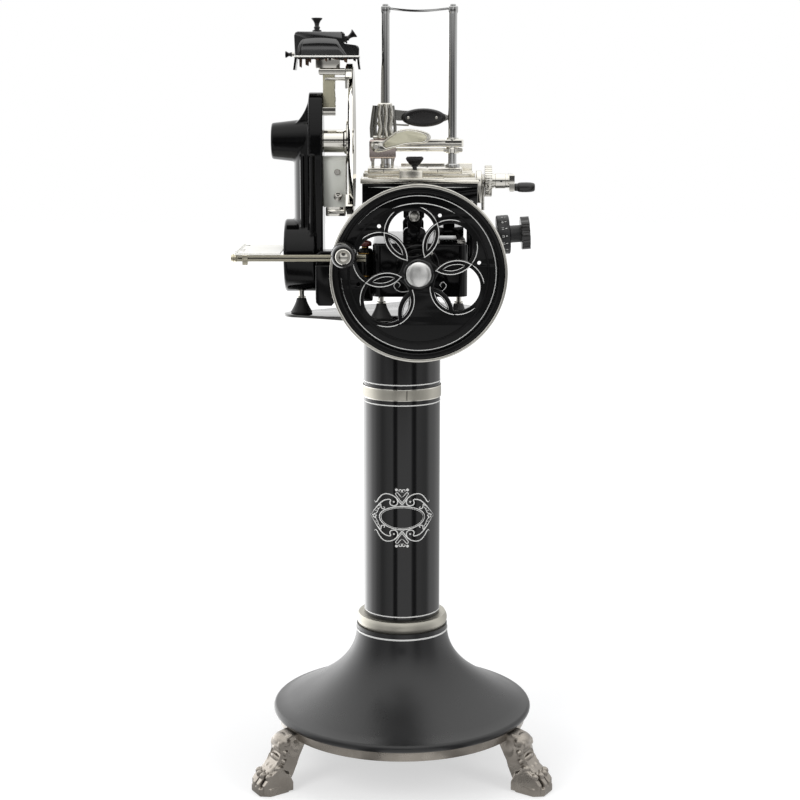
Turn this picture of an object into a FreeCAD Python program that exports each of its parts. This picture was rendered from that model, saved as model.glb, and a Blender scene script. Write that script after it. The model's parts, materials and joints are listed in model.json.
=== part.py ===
import FreeCAD, Part
import math
import os

from FreeCAD import Vector

# A hand-cranked flywheel meat slicer on its own pedestal.
# Millimetres. +Z is up, the origin is on the floor on the column's axis. The flywheel faces -Y,
# the meat table stands on the +X side of the knife and the slices fall on the tray on the -X side.

# ---------------------------------------------------------------- clearances
FIT = 0.05              # radial clearance of a turning or sliding fit
GAP = 0.3               # gap between faces that pass each other
SEAT = 0.02             # gap under a piece that is pressed or screwed on

# ---------------------------------------------------------------- pedestal
PAW_HEIGHT = 91.0       # floor to the underside of the cast ring
PAW_ANGLES = (-30.0, -150.0, 90.0)
PAW_REACH = 305.0       # tip of the toes from the column's axis
PAW_WIDTH = 46.0
PAW_KNUCKLE = 46.0         # top of the knuckles
TOE_COUNT = 4
TOE_GROOVE = 1.8
TOE_LENGTH = 58.0
TOE_HEIGHT = 38.0
RING_RADIUS = 228.0
RING_WIDTH = 24.0
RING_HEIGHT = 18.0
RIM_RADIUS = 238.0      # rolled edge of the bell
RIM_THICKNESS = 15.0
BELL_HEIGHT = 164.0
BELL_WALL = 8.0
FLARE_STEPS = 5         # straight steps of the trumpet curve
FLARE_POWER = 2.35
THROAT_RADIUS = 83.0    # top of the bell
COLLAR_HEIGHT = 21.0
COLLAR_EDGE = 2.5
COLUMN_RADIUS = 69.0
COLUMN_WALL = 5.0
BAND_BOTTOM = 698.0
BAND_HEIGHT = 21.0
BAND_THICKNESS = 1.6
BAND_SEAM = 1.2
PLATE_TOP = 847.0       # working height of the stand
PLATE_THICKNESS = 5.0
PLATE_LOBE = 31.0
PLATE_BOW = 0.04         # bow of the plate's sides, as a share of their length
SPIGOT_DEPTH = 20.0
SPIGOT_BORE = 40.0

# ---------------------------------------------------------------- machine feet
FOOT_HEIGHT = 27.0
FOOT_RADIUS = 19.0
FOOT_TOP_RADIUS = 8.0
STEM_RADIUS = 5.0
STEM_HEIGHT = 13.0
STEM_THREAD = 8.0       # length screwed into the rubber cone

# ---------------------------------------------------------------- base of the machine
BASE_LEFT = -51.0
BASE_WIDTH = 164.0
BASE_FRONT = -100.0
BASE_DEPTH = 280.0
BASE_HEIGHT = 92.0
BASE_WALL = 9.0
BASE_CORNER = 16.0
WAY_HEIGHT = 6.0
WAY_WIDTH = 14.0
FOOT_INSET = 15.0       # feet of the base from its outer faces
FOOT_BOSS = 9.0
LUBRICATOR_RADIUS = 13.0
LUBRICATOR_HEIGHT = 52.0
LUBRICATOR_LID = 14.0
GEAR_ROOM = 33.0        # right wall of the gear room from the flywheel shaft
WAY_INSET = 4.0         # ways from the edges of the base
WAY_PITCH = 37.8        # left way from the right one

# ---------------------------------------------------------------- drive
DRIVE_Z = 941.0         # height of the flywheel shaft
WHEEL_X = 27.0
SHAFT_RADIUS = 12.0
CROSS_RADIUS = 8.0
BEARING_RADIUS = 27.0
BEARING_LENGTH = 100.0
BEARING_FLANGE = 10.0
BEVEL_RADIUS = 26.0     # bevel of the flywheel shaft
PINION_RADIUS = 15.6    # bevel of the cross shaft
BEVEL_FACE = 12.0

# ---------------------------------------------------------------- flywheel
WHEEL_RADIUS = 146.0
WHEEL_FRONT = -243.0
WHEEL_DEPTH = 28.0
RIM_SKIN = 4.5          # polished band on the rim
RIM_BLACK = 10.0        # black part of the rim behind the band
WEB_THICKNESS = 10.0
LEAF_RAISE = 3.0
HUB_RADIUS = 25.0
HUB_LENGTH = 36.0
HUB_CAP_RADIUS = 20.6
HUB_CAP_HEIGHT = 8.0
ROSETTE_TURN = -10.0    # first petal, clockwise from the top
ROSETTE_COUNT = 6
ROSETTE_SOLID = 3       # petal that stays solid
ROSETTE_RADIUS = 67.5   # petal centres from the shaft
PETAL_RADIUS = 38.5
LEAF_CIRCLE = 46.0
LEAF_BAND = 7.5         # width of the leaf's frame around its slot
DROP_RADIUS = 3.2
DROP_PLACE = 101.0
HANDLE_PLACE = 126.0
HANDLE_ANGLE = 163.4    # from +X towards +Z
SPINDLE_RADIUS = 5.0
GRIP_LENGTH = 76.0
GRIP_RADIUS = 20.5
GRIP_NECK = 13.0
GRIP_NECK_LENGTH = 7.0
GRIP_EDGE = 0.8
COLLAR_RADIUS = 15.0
COLLAR_THICKNESS = 5.0
BUTTON_RADIUS = 12.5
BUTTON_HEIGHT = 5.0

# ---------------------------------------------------------------- knife and its frame
KNIFE_Z = 1151.0
KNIFE_EDGE_X = -84.0
KNIFE_RADIUS = 128.0
KNIFE_DISH = 8.0        # depth of the dished knife
KNIFE_THICKNESS = 3.0
KNIFE_DISHED = 16.0     # width of the slanting edge band
KNIFE_BEVEL = 9.0       # width of the ground edge
KNIFE_SHAFT_RADIUS = 14.0
KNIFE_HUB_RADIUS = 20.0
KNIFE_FLANGE_RADIUS = 40.0
KNIFE_FLANGE = 5.0
KNIFE_NUT = 5.0
ARM_RIGHT = -138.0
ARM_THICKNESS = 25.0
ARM_TOP = 1235.0
ARM_HALF = 48.0         # half depth of the arm's foot
FAIRING_HALF = 21.0     # half depth of the fairing between boss and arm
BOSS_LEFT = -229.0
BOSS_RADIUS = 31.5      # outer end of the tapered boss
BOSS_ROOT_RADIUS = 39.0 # where it meets the arm
NECK_LEFT = -190.0
DRUM_LEFT = -207.0
DRUM_RIGHT = -152.0
DRUM_RADIUS = 64.0
DRUM_Z = 950.5
SHAFT_END = 12.0        # wall in front of the knife's shaft and the cross shaft
GUARD_THICKNESS = 4.0
GUARD_LIP = 12.0
GUARD_WALL = 3.5
GUARD_CLEARANCE = 2.0   # guard ring around the knife
GUARD_WEB = 20.0
GUARD_OPEN = 110.0      # degrees left open where the meat meets the knife
BRIDGE_HEIGHT = 82.0
BRIDGE_EDGE = 10.0
TUNNEL_GAP = 2.0         # tunnel of the bridge around the cross shaft
BRIDGE_DEPTH = 110.0

# ---------------------------------------------------------------- sharpener
HEAD_LEFT = -186.0
HEAD_WIDTH = 112.0
HEAD_DEPTH = 62.0
HEAD_BOTTOM = 1296.0
HEAD_HEIGHT = 42.0
HEAD_WALL = 3.0
HEAD_DROP = 24.0        # lower lobe of the cover below its dome
HEAD_LOBE = 44.0        # length of the lower lobe
HEAD_ROUND = 12.0
KNOB_PLACE = 38.0       # top knob from the cover's left end
SLIDE_LEFT = 12.0       # chromed slide to the left of the arm's face
SLIDE_RIGHT = 30.0
SLIDE_HALF = 15.0
STEM_LEFT = 6.0
STEM_RIGHT = 24.0
STEM_HALF = 9.0
SEAT_DROP = 8.0         # top of the sharpener's seat below the guard
SEAT_HEIGHT = 12.0
STONE_RADIUS = 10.0
STONE_THICKNESS = 8.0
STONE_SPINDLE = 3.5
STONE_STROKE = 6.0      # push of the stones onto the edge
STONE_OFFSET = 9.0      # level spindle beside the slanted one
SPINDLE_SLANT = 35.0
KNOB_RADIUS = 7.5
KNOB_HEIGHT = 24.0
KNOB_SHANK = 12.0
PLUNGER_KNOB = 47.0     # knob of the slanted spindle along its axis
PLUNGER_START = 62.0    # start of that axis from the cover's right end

# ---------------------------------------------------------------- carriage
CARRIAGE_LEFT = -68.0
CARRIAGE_WIDTH = 196.0
CARRIAGE_FRONT = -110.0
CARRIAGE_DEPTH = 280.0
CARRIAGE_BOTTOM = 1035.0
CARRIAGE_HEIGHT = 47.0
CARRIAGE_WALL = 9.0
CARRIAGE_ROOMS = 3      # rooms between the ribs on each side
DECK_THICKNESS = 8.0
DECK_STEP = 3.0
DECK_LIP = 3.0
DECK_SPLIT_X = 72.0
BAR_X = 21.0
BAR_Z = 1025.0
BAR_RADIUS = 9.0
POST_WIDTH = 39.0
POST_DEPTH = 24.0
SLEEVE_LENGTH = 60.0
SLEEVE_Y = 40.0
SLEEVE_RISE = 7.0       # depth of the sleeve's seat in the carriage
SHOE_LENGTH = 90.0
SHOE_HEIGHT = 14.0
SHOE_NECK_INSET = 16.0
SHOE_NECK_GAP = 6.0     # shoe's neck from the ribs beside it

# ---------------------------------------------------------------- feed
SCREW_Y = -60.0
SCREW_Z = 1084.0
SCREW_RADIUS = 6.0
SCREW_TROUGH = 24.0
SCREW_END = -45.0       # free end of the screw under the table
DISC_RADIUS = 27.0
DISC_THICKNESS = 12.0
DISC_TEETH = 36
DISC_TOOTH = 1.6
DISC_NOTCH = 1.1        # depth of a tooth's gap
BRACKET_THICKNESS = 9.0
BRACKET_HALF = 18.0
PAWL_THICKNESS = 5.0
PAWL_REACH = 50.0
PAWL_HALF = 4.0
FEED_HUB_RADIUS = 13.0
FEED_HUB_LENGTH = 28.0
CRANK_THROW = 36.0
CRANK_THICKNESS = 9.0
CRANK_GRIP_LENGTH = 35.0
CRANK_GRIP_RADIUS = 8.5
CRANK_GRIP_NECK = 5.0
CRANK_GRIP_WALL = 3.0    # closed end of the grip
CRANK_PIN_RADIUS = 3.0
CRANK_DROP = 9.0        # pin below the screw's axis

# ---------------------------------------------------------------- meat table and clamp
WAYS_HEIGHT = 6.0
WAY_BAR = 18.0
TABLE_LEFT = -60.0
TABLE_WIDTH = 166.0
TABLE_FRONT = -25.0
TABLE_DEPTH = 130.0
TABLE_THICKNESS = 8.0
GROOVE_PITCH = 26.0
GROOVE_COUNT = 3
GROOVE_WIDTH = 2.0
GROOVE_DEPTH = 1.5
FENCE_DEPTH = 9.0
FENCE_GAP = 6.0         # fence behind the table
NUT_LEFT = -5.0
NUT_LENGTH = 40.0
ROD_RADIUS = 8.0
ROD_LEFT_X = -30.0
ROD_RIGHT_X = 89.0
ROD_Y = 40.0
ROD_TOP = 1384.0
ROD_FOOT_RADIUS = 14.0
ROD_FOOT_SMALL = 9.4    # foot of the left rod, between the spikes
ROD_FOOT = 6.0
CAP_HEIGHT = 4.0
CAP_RING = 10.0
TIE_HEIGHT = 4.0
TIE_DEPTH = 6.0
TIE_SAG = 5.0
TIE_DROP = 3.0           # middle of the strap's ends below the rods' tops
CROSSBAR_Z = 1131.5
CROSSBAR_HEIGHT = 21.5
CROSSBAR_END = 20.0      # bar past the right rod
CROSSBAR_DEPTH = 14.0
SLEEVE_WALL = 5.0
BLOCK_LEFT = -58.0
BLOCK_WIDTH = 60.0
BLOCK_DEPTH = 34.0
BLOCK_BOTTOM = 1119.0
SPIKE_RADIUS = 2.6
SPIKE_INSET = 4.0       # spikes from the faces of the block
SPIKE_COUNT = 3
PILLAR_TOP = 1217.0
GRIP_X = 38.0
GRIP_Z = 1192.0
GRIP_HALF_LENGTH = 39.0
GRIP_HALF_HEIGHT = 18.5
GRIP_THICKNESS = 17.0
ARM_PLATE = 6.0         # tang between the two scales of the grip
LEVER_THICKNESS = 15.0
LEVER_PIN = 4.0
LEVER_DROP = 13.0       # lever's pivot below the top of the crossbar
THUMB_X = 22.0
TONGUE_DROP = 2.0       # top of the nut's tongue below the table

# ---------------------------------------------------------------- thickness dial
DIAL_X = 166.0
DIAL_Y = -40.0
DIAL_Z = 989.0
DIAL_TILT = 4.0
DIAL_RADIUS = 34.0
DIAL_THICKNESS = 22.0
DIAL_NECK_RADIUS = 15.0
DIAL_NECK = 20.0
DIAL_KNOB_RADIUS = 29.0
DIAL_KNOB = 15.0
DIAL_LOBES = 7
DIAL_SPINDLE = 7.0
DIAL_ARM = 12.0
DIAL_FLUTE = 9.0        # radius of the flutes between the lobes
DIAL_FLUTE_PLACE = 5.5  # flutes' centres outside the knob

# ---------------------------------------------------------------- slice tray
TRAY_LEFT = -285.0
TRAY_FRONT = -118.0
TRAY_DEPTH = 180.0
TRAY_TOP = 964.0
TRAY_THICKNESS = 3.0
RAIL_HEIGHT = 11.0
RAIL_DEPTH = 9.0
RAIL_RIGHT = -62.0
RAIL_CLAMP_LEFT = -148.0
RAIL_CLAMP_WIDTH = 32.0

# ---------------------------------------------------------------- places worked out from the sizes
RING_TOP = PAW_HEIGHT + RING_HEIGHT
COLUMN_BOTTOM = RING_TOP + BELL_HEIGHT
PLATE_BOTTOM = PLATE_TOP - PLATE_THICKNESS
FOOT_TOP = PLATE_TOP + FOOT_HEIGHT
BASE_BOTTOM = FOOT_TOP + STEM_HEIGHT
BASE_TOP = BASE_BOTTOM + BASE_HEIGHT
BASE_RIGHT = BASE_LEFT + BASE_WIDTH
BASE_BACK = BASE_FRONT + BASE_DEPTH
BASE_MIDDLE_X = BASE_LEFT + BASE_WIDTH / 2
DRUM_MIDDLE_X = (DRUM_LEFT + DRUM_RIGHT) / 2
WHEEL_BACK = WHEEL_FRONT + WHEEL_DEPTH
WHEEL_MIDDLE = WHEEL_FRONT + WHEEL_DEPTH / 2
HUB_FRONT = WHEEL_MIDDLE - HUB_LENGTH / 2
HANDLE_X = WHEEL_X + HANDLE_PLACE * math.cos(math.radians(HANDLE_ANGLE))
HANDLE_Z = DRIVE_Z + HANDLE_PLACE * math.sin(math.radians(HANDLE_ANGLE))
SPINDLE_FRONT = WHEEL_FRONT - COLLAR_THICKNESS - GRIP_LENGTH - 2 * GAP
ARM_LEFT = ARM_RIGHT - ARM_THICKNESS
KNIFE_BACK = KNIFE_EDGE_X - KNIFE_DISH
KNIFE_SEAT = KNIFE_BACK - KNIFE_FLANGE
GUARD_INNER = KNIFE_RADIUS + GUARD_CLEARANCE
GUARD_LEFT = KNIFE_BACK - GAP - GUARD_THICKNESS - 1.0
GUARD_TOP = KNIFE_Z + GUARD_INNER + GUARD_WALL
BRIDGE_TOP = FOOT_TOP + BRIDGE_HEIGHT
CARRIAGE_RIGHT = CARRIAGE_LEFT + CARRIAGE_WIDTH
CARRIAGE_BACK = CARRIAGE_FRONT + CARRIAGE_DEPTH
CARRIAGE_TOP = CARRIAGE_BOTTOM + CARRIAGE_HEIGHT
DECK_TOP = CARRIAGE_TOP + DECK_THICKNESS
TABLE_BOTTOM = DECK_TOP + WAYS_HEIGHT
TABLE_TOP = TABLE_BOTTOM + TABLE_THICKNESS
TABLE_RIGHT = TABLE_LEFT + TABLE_WIDTH
TABLE_BACK = TABLE_FRONT + TABLE_DEPTH
BRACKET_RIGHT = CARRIAGE_RIGHT + BRACKET_THICKNESS
PAWL_LEFT = BRACKET_RIGHT + GAP
DISC_LEFT = PAWL_LEFT + PAWL_THICKNESS + GAP
FEED_HUB_LEFT = DISC_LEFT + DISC_THICKNESS
CRANK_LEFT = FEED_HUB_LEFT + FEED_HUB_LENGTH
CRANK_GRIP_LEFT = CRANK_LEFT + CRANK_THICKNESS + GAP
CRANK_PIN_Z = SCREW_Z - CRANK_DROP
PIN_END = CRANK_GRIP_LEFT + CRANK_GRIP_LENGTH - CRANK_GRIP_WALL - GAP
THUMB_Y = TABLE_FRONT - 9.0
THUMB_Z = TABLE_TOP - TONGUE_DROP
CROSSBAR_TOP = CROSSBAR_Z + CROSSBAR_HEIGHT
LEVER_PIVOT = (BLOCK_LEFT + 12.0, CROSSBAR_TOP - LEVER_DROP)
CARRIAGE_ROOF = CARRIAGE_TOP - SCREW_TROUGH
HEAD_TOP = HEAD_BOTTOM + HEAD_HEIGHT
HEAD_RIGHT = HEAD_LEFT + HEAD_WIDTH
FOOT_PLACES = {
    "foot_drum": (DRUM_MIDDLE_X, 0.0),
    "foot_front_left": (BASE_LEFT + FOOT_INSET, BASE_FRONT + FOOT_INSET),
    "foot_front_right": (BASE_RIGHT - FOOT_INSET, BASE_FRONT + FOOT_INSET),
    "foot_rear": (BASE_MIDDLE_X, BASE_BACK - FOOT_INSET),
}


# ---------------------------------------------------------------- drawing helpers
def outline(plane, start, *steps):
    """A closed face: each step is a corner, or a (middle, end) pair for an arc."""
    def spot(pair):
        a, b = pair
        return {"XY": Vector(a, b, 0), "XZ": Vector(a, 0, b), "YZ": Vector(0, a, b)}[plane]

    edges = []
    here = start
    for step in steps + (start,):
        if isinstance(step[0], tuple):
            edges.append(Part.Arc(spot(here), spot(step[0]), spot(step[1])).toShape())
            here = step[1]
        elif step != here:
            edges.append(Part.makeLine(spot(here), spot(step)))
            here = step
    return Part.Face(Part.Wire(edges))


def slab(plane, low, high, start, *steps):
    """The outline's face, drawn out from low to high across its plane."""
    across = {"XY": Vector(0, 0, 1), "XZ": Vector(0, 1, 0), "YZ": Vector(1, 0, 0)}[plane]
    face = outline(plane, start, *steps)
    face.translate(across * low)
    return face.extrude(across * (high - low))


def turned(origin, axis, start, *steps):
    """The outline of (radius, height) points turned about the axis through the origin."""
    solid = outline("XZ", start, *steps).revolve(Vector(0, 0, 0), Vector(0, 0, 1), 360)
    return aimed(solid, origin, axis)


def aimed(solid, origin, axis):
    """Moves a solid that stands on Z at the origin onto another point and axis."""
    moved = solid.copy()
    moved.Placement = FreeCAD.Placement(Vector(*origin), FreeCAD.Rotation(Vector(0, 0, 1), Vector(*axis)))
    return moved


def rod(radius, start, end):
    """A round bar between two points."""
    span = Vector(*end) - Vector(*start)
    return Part.makeCylinder(radius, span.Length, Vector(*start), span)


def block(x0, x1, y0, y1, z0, z1, corner=0.0):
    """A box with upright corners rounded."""
    if not corner:
        return Part.makeBox(x1 - x0, y1 - y0, z1 - z0, Vector(x0, y0, z0))
    c = corner
    d = corner * (1 - math.sqrt(0.5))
    return slab(
        "XY", z0, z1, (x0 + c, y0),
        (x1 - c, y0), ((x1 - d, y0 + d), (x1, y0 + c)),
        (x1, y1 - c), ((x1 - d, y1 - d), (x1 - c, y1)),
        (x0 + c, y1), ((x0 + d, y1 - d), (x0, y1 - c)),
        (x0, y0 + c), ((x0 + d, y0 + d), (x0 + c, y0)),
    )


def joined(*solids):
    """One solid from several that touch or overlap."""
    return solids[0].multiFuse(list(solids[1:])).removeSplitter()


# ---------------------------------------------------------------- pedestal
def paw_toe(width):
    """One toe of a lion's paw, in the plane of the leg, centred on Y."""
    tip, back, top = PAW_REACH, PAW_REACH - TOE_LENGTH, TOE_HEIGHT
    return slab(
        "XZ", -width / 2, width / 2, (back, 0.0), (tip - 5.0, 0.0),
        ((tip, top * 0.37), (tip - 8.0, top * 0.74)), ((tip - 22.0, top * 0.97), (tip - 40.0, top)),
        (back, top * 0.9),
    )


def paw():
    """A lion's paw standing out along +X: a knuckled leg that ends in toes."""
    inner, shin = RING_RADIUS - RING_WIDTH, RING_RADIUS + 24.0
    heel = PAW_REACH - TOE_LENGTH
    half = PAW_WIDTH * 0.39
    leg = slab(
        "XZ", -half, half, (inner, RING_TOP), (RING_RADIUS + 6.0, RING_TOP),
        ((shin + 2.0, RING_TOP - 12.0), (shin, RING_TOP - 30.0)),
        ((shin, RING_TOP - 42.0), (shin + 12.0, RING_TOP - 54.0)),
        ((PAW_REACH - 24.0, PAW_KNUCKLE), (PAW_REACH - 16.0, 30.0)), (PAW_REACH - 14.0, 0.0),
        (heel + 6.0, 0.0), ((heel - 8.0, PAW_HEIGHT * 0.37), (inner + 12.0, PAW_HEIGHT * 0.78)),
        (inner, PAW_HEIGHT),
    )
    toes = []
    pitch = PAW_WIDTH / TOE_COUNT
    for i in range(TOE_COUNT):
        side = i - (TOE_COUNT - 1) / 2
        toe = paw_toe(pitch - TOE_GROOVE)
        toe.translate(Vector(-4.0 * abs(side), side * pitch, 0))
        toes.append(toe)
    return joined(leg, *toes)


def paw_base():
    """Ring under the bell with three lion's paws, one casting."""
    low, high = (0, 0, PAW_HEIGHT), (0, 0, RING_TOP)
    ring = rod(RING_RADIUS, low, high).cut(rod(RING_RADIUS - RING_WIDTH, low, high))
    paws = []
    for angle in PAW_ANGLES:
        copy = paw()
        copy.rotate(Vector(0, 0, 0), Vector(0, 0, 1), angle)
        paws.append(copy)
    return joined(ring, *paws)


def flare_radius(height):
    """Radius of the bell's trumpet curve at a height above the ring."""
    low = RIM_THICKNESS
    share = (height - low) / (BELL_HEIGHT - low)
    return THROAT_RADIUS + (RIM_RADIUS - RIM_THICKNESS / 2 - THROAT_RADIUS) * (1 - share) ** FLARE_POWER


def bell_base():
    """Flared foot of the stand: a trumpet-shaped casting, open below, with a rolled rim."""
    rim = RIM_THICKNESS / 2
    shares = [1.0 - ((FLARE_STEPS - i) / FLARE_STEPS) ** 0.6 for i in range(FLARE_STEPS + 1)]
    heights = [RIM_THICKNESS + (BELL_HEIGHT - RIM_THICKNESS) * share for share in shares]
    flare = [(flare_radius(height), height) for height in heights]
    throat = COLUMN_RADIUS - COLUMN_WALL
    mouth = RING_RADIUS - RING_WIDTH
    middle = mouth * 0.6
    inside = [
        (throat, BELL_HEIGHT), (throat, BELL_HEIGHT * 0.4), (middle, BELL_HEIGHT * 0.4),
        (middle, BELL_WALL * 2), (mouth, BELL_WALL * 2), (mouth, 0.0),
    ]
    roll = [(RIM_RADIUS - rim, 0.0), (RIM_RADIUS - rim * 0.3, rim * 0.3), (RIM_RADIUS, rim),
            (RIM_RADIUS - rim * 0.3, rim * 1.7)]
    return turned((0, 0, RING_TOP), (0, 0, 1), *roll, *flare, *inside)


def lower_collar():
    """Brushed ring around the foot of the column, its edges turned off."""
    bore = COLUMN_RADIUS + FIT
    edge = COLLAR_EDGE
    return turned(
        (0, 0, COLUMN_BOTTOM), (0, 0, 1), (bore, 0), (THROAT_RADIUS - edge, 0), (THROAT_RADIUS, edge),
        (THROAT_RADIUS, COLLAR_HEIGHT - edge), (THROAT_RADIUS - edge, COLLAR_HEIGHT), (bore, COLLAR_HEIGHT),
    )


def column():
    """Round tube of the stand."""
    height = PLATE_BOTTOM - COLUMN_BOTTOM
    tube = rod(COLUMN_RADIUS, (0, 0, COLUMN_BOTTOM), (0, 0, COLUMN_BOTTOM + height))
    return tube.cut(rod(COLUMN_RADIUS - COLUMN_WALL, (0, 0, COLUMN_BOTTOM), (0, 0, COLUMN_BOTTOM + height)))


def upper_band():
    """Thin brushed band around the column, open at its seam."""
    inner = COLUMN_RADIUS + SEAT
    band = rod(inner + BAND_THICKNESS, (0, 0, BAND_BOTTOM), (0, 0, BAND_BOTTOM + BAND_HEIGHT))
    band = band.cut(rod(inner, (0, 0, BAND_BOTTOM), (0, 0, BAND_BOTTOM + BAND_HEIGHT)))
    seam_y = -COLUMN_RADIUS * 1.1
    seam = block(8.0, 8.0 + BAND_SEAM, seam_y, seam_y / 2, BAND_BOTTOM, BAND_BOTTOM + BAND_HEIGHT)
    return band.cut(seam)


def machine_plate():
    """Polished plate on the column with a lobe under each foot of the machine."""
    waist = BASE_BACK - 2.5 * PLATE_LOBE
    spots = [FOOT_PLACES[name] for name in ("foot_drum", "foot_front_left", "foot_front_right")]
    spots += [(BASE_RIGHT - FOOT_INSET, waist), FOOT_PLACES["foot_rear"], (BASE_LEFT, waist)]
    plate = slab("XY", PLATE_BOTTOM, PLATE_TOP, *plate_edge(spots))
    low = PLATE_BOTTOM - SPIGOT_DEPTH
    spigot = rod(COLUMN_RADIUS - COLUMN_WALL - FIT, (0, 0, low), (0, 0, PLATE_BOTTOM))
    return joined(plate, spigot.cut(rod(SPIGOT_BORE, (0, 0, low), (0, 0, PLATE_BOTTOM))))


def plate_edge(spots):
    """Edge of the plate: an arc around each spot, and between two of them a side bowed in a little."""
    sides = []
    for (x, y), (nx, ny) in zip(spots, spots[1:] + spots[:1]):
        length = math.hypot(nx - x, ny - y)
        out = ((ny - y) / length, (x - nx) / length)
        start = (x + out[0] * PLATE_LOBE, y + out[1] * PLATE_LOBE)
        end = (nx + out[0] * PLATE_LOBE, ny + out[1] * PLATE_LOBE)
        bow = PLATE_BOW * length
        middle = ((start[0] + end[0]) / 2 - out[0] * bow, (start[1] + end[1]) / 2 - out[1] * bow)
        sides.append((out, start, middle, end))
    steps = [sides[0][1]]
    for i, (out, start, middle, end) in enumerate(sides):
        next_out, next_start = sides[(i + 1) % len(sides)][:2]
        x, y = spots[(i + 1) % len(spots)]
        both = (out[0] + next_out[0], out[1] + next_out[1])
        reach = PLATE_LOBE / math.hypot(*both)
        steps.append((middle, end))
        steps.append(((x + both[0] * reach, y + both[1] * reach), next_start))
    return steps


def machine_feet():
    """Rubber cone feet of the machine, all alike."""
    feet = []
    for x, y in FOOT_PLACES.values():
        cone = turned(
            (x, y, PLATE_TOP), (0, 0, 1), (0, 0), (FOOT_RADIUS, 0), (FOOT_RADIUS, 3.0),
            (FOOT_TOP_RADIUS, FOOT_HEIGHT), (0, FOOT_HEIGHT),
        )
        hole = rod(STEM_RADIUS + SEAT, (x, y, FOOT_TOP - STEM_THREAD - SEAT), (x, y, FOOT_TOP))
        feet.append(cone.cut(hole))
    return Part.makeCompound(feet)


def foot_stems():
    """Chromed adjusting screws of the feet."""
    stems = []
    for x, y in FOOT_PLACES.values():
        top = stem_top(x)
        stems.append(rod(STEM_RADIUS, (x, y, FOOT_TOP - STEM_THREAD), (x, y, top)))
    return Part.makeCompound(stems)


def stem_top(x):
    """Underside of what the foot's screw carries."""
    return DRUM_Z - DRUM_RADIUS if x == DRUM_MIDDLE_X else BASE_BOTTOM


# ---------------------------------------------------------------- base of the machine
def base_casting():
    """Cast box of the machine, open below, ribbed inside, with bosses for its feet and both shafts."""
    body = block(BASE_LEFT, BASE_RIGHT, BASE_FRONT, BASE_BACK, BASE_BOTTOM, BASE_TOP, BASE_CORNER)
    body = body.makeChamfer(3.0, [edge for edge in body.Edges if edge.CenterOfMass.z > BASE_TOP - 0.1])
    roof = BASE_TOP - BASE_WALL
    half = BASE_WALL / 2
    left, right = BASE_LEFT + BASE_WALL, BASE_RIGHT - BASE_WALL
    front, back = BASE_FRONT + BASE_WALL, BASE_BACK - BASE_WALL
    rib_y = BASE_FRONT + BASE_DEPTH / 2
    gear_x = WHEEL_X + GEAR_ROOM
    rooms = (
        (left, gear_x, front, rib_y - half), (gear_x + BASE_WALL, right, front, rib_y - half),
        (left, BASE_MIDDLE_X - half, rib_y + half, back), (BASE_MIDDLE_X + half, right, rib_y + half, back),
    )
    bosses = [rod(FOOT_BOSS, (x, y, BASE_BOTTOM), (x, y, roof)) for x, y in list(FOOT_PLACES.values())[1:]]
    for x0, x1, y0, y1 in rooms:
        body = body.cut(block(x0, x1, y0, y1, BASE_BOTTOM, roof).cut(Part.makeCompound(bosses)))
    wheel_hole = rod(SHAFT_RADIUS + FIT, (WHEEL_X, BASE_FRONT, DRIVE_Z), (WHEEL_X, front, DRIVE_Z))
    cross_hole = rod(CROSS_RADIUS + FIT, (BASE_LEFT, 0, DRIVE_Z), (left, 0, DRIVE_Z))
    return body.cut(wheel_hole).cut(cross_hole)


def way_edges():
    """Left and right edge of each way on the base, the narrow one first."""
    right = BASE_RIGHT - WAY_INSET
    left = right - WAY_WIDTH - WAY_PITCH
    return (left, left + WAY_WIDTH / 2), (right - WAY_WIDTH, right)


def base_ways():
    """Polished strips on the base that the carriage shoe runs on."""
    y0, y1 = BASE_FRONT + WAY_INSET, BASE_BACK - WAY_INSET
    top = BASE_TOP + WAY_HEIGHT
    return Part.makeCompound([block(x0, x1, y0, y1, BASE_TOP, top) for x0, x1 in way_edges()])


def guide_posts():
    """Black saddles that hold the carriage's guide bar, at the front and the back of the base."""
    x0, x1 = BAR_X - POST_WIDTH / 2, BAR_X + POST_WIDTH / 2
    shoulder = BASE_TOP + 26.0
    posts = []
    for y0 in (BASE_FRONT + 3.0, BASE_BACK - 3.0 - POST_DEPTH):
        post = slab(
            "XZ", y0, y0 + POST_DEPTH, (x0, BASE_TOP), (x1, BASE_TOP), (x1, shoulder - 8.0),
            ((x1 - 2.5, shoulder - 2.5), (x1 - 8.0, shoulder)), (BAR_X + BAR_RADIUS + 4.0, BAR_Z),
            (BAR_X - BAR_RADIUS - 4.0, BAR_Z), (x0 + 8.0, shoulder),
            ((x0 + 2.5, shoulder - 2.5), (x0, shoulder - 8.0)),
        )
        posts.append(post.cut(rod(BAR_RADIUS + SEAT, (BAR_X, y0, BAR_Z), (BAR_X, y0 + POST_DEPTH, BAR_Z))))
    return Part.makeCompound(posts)


def guide_bar():
    """Chromed round bar that the carriage slides on."""
    length = BASE_DEPTH + 2.0
    return turned(
        (BAR_X, BASE_FRONT - 1.0, BAR_Z), (0, 1, 0), (0, 0), (BAR_RADIUS - 1.0, 0), (BAR_RADIUS, 1.0),
        (BAR_RADIUS, length - 1.0), (BAR_RADIUS - 1.0, length), (0, length),
    )


def wheel_bearing():
    """Long bearing nose with its flange on the front of the base."""
    bore = SHAFT_RADIUS + FIT
    flange = BEARING_RADIUS + BEARING_FLANGE
    return turned(
        (WHEEL_X, BASE_FRONT, DRIVE_Z), (0, -1, 0), (bore, 0), (flange, 0), (flange, BEARING_FLANGE),
        (BEARING_RADIUS, BEARING_FLANGE), (BEARING_RADIUS, BEARING_LENGTH), (bore, BEARING_LENGTH),
    )


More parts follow.
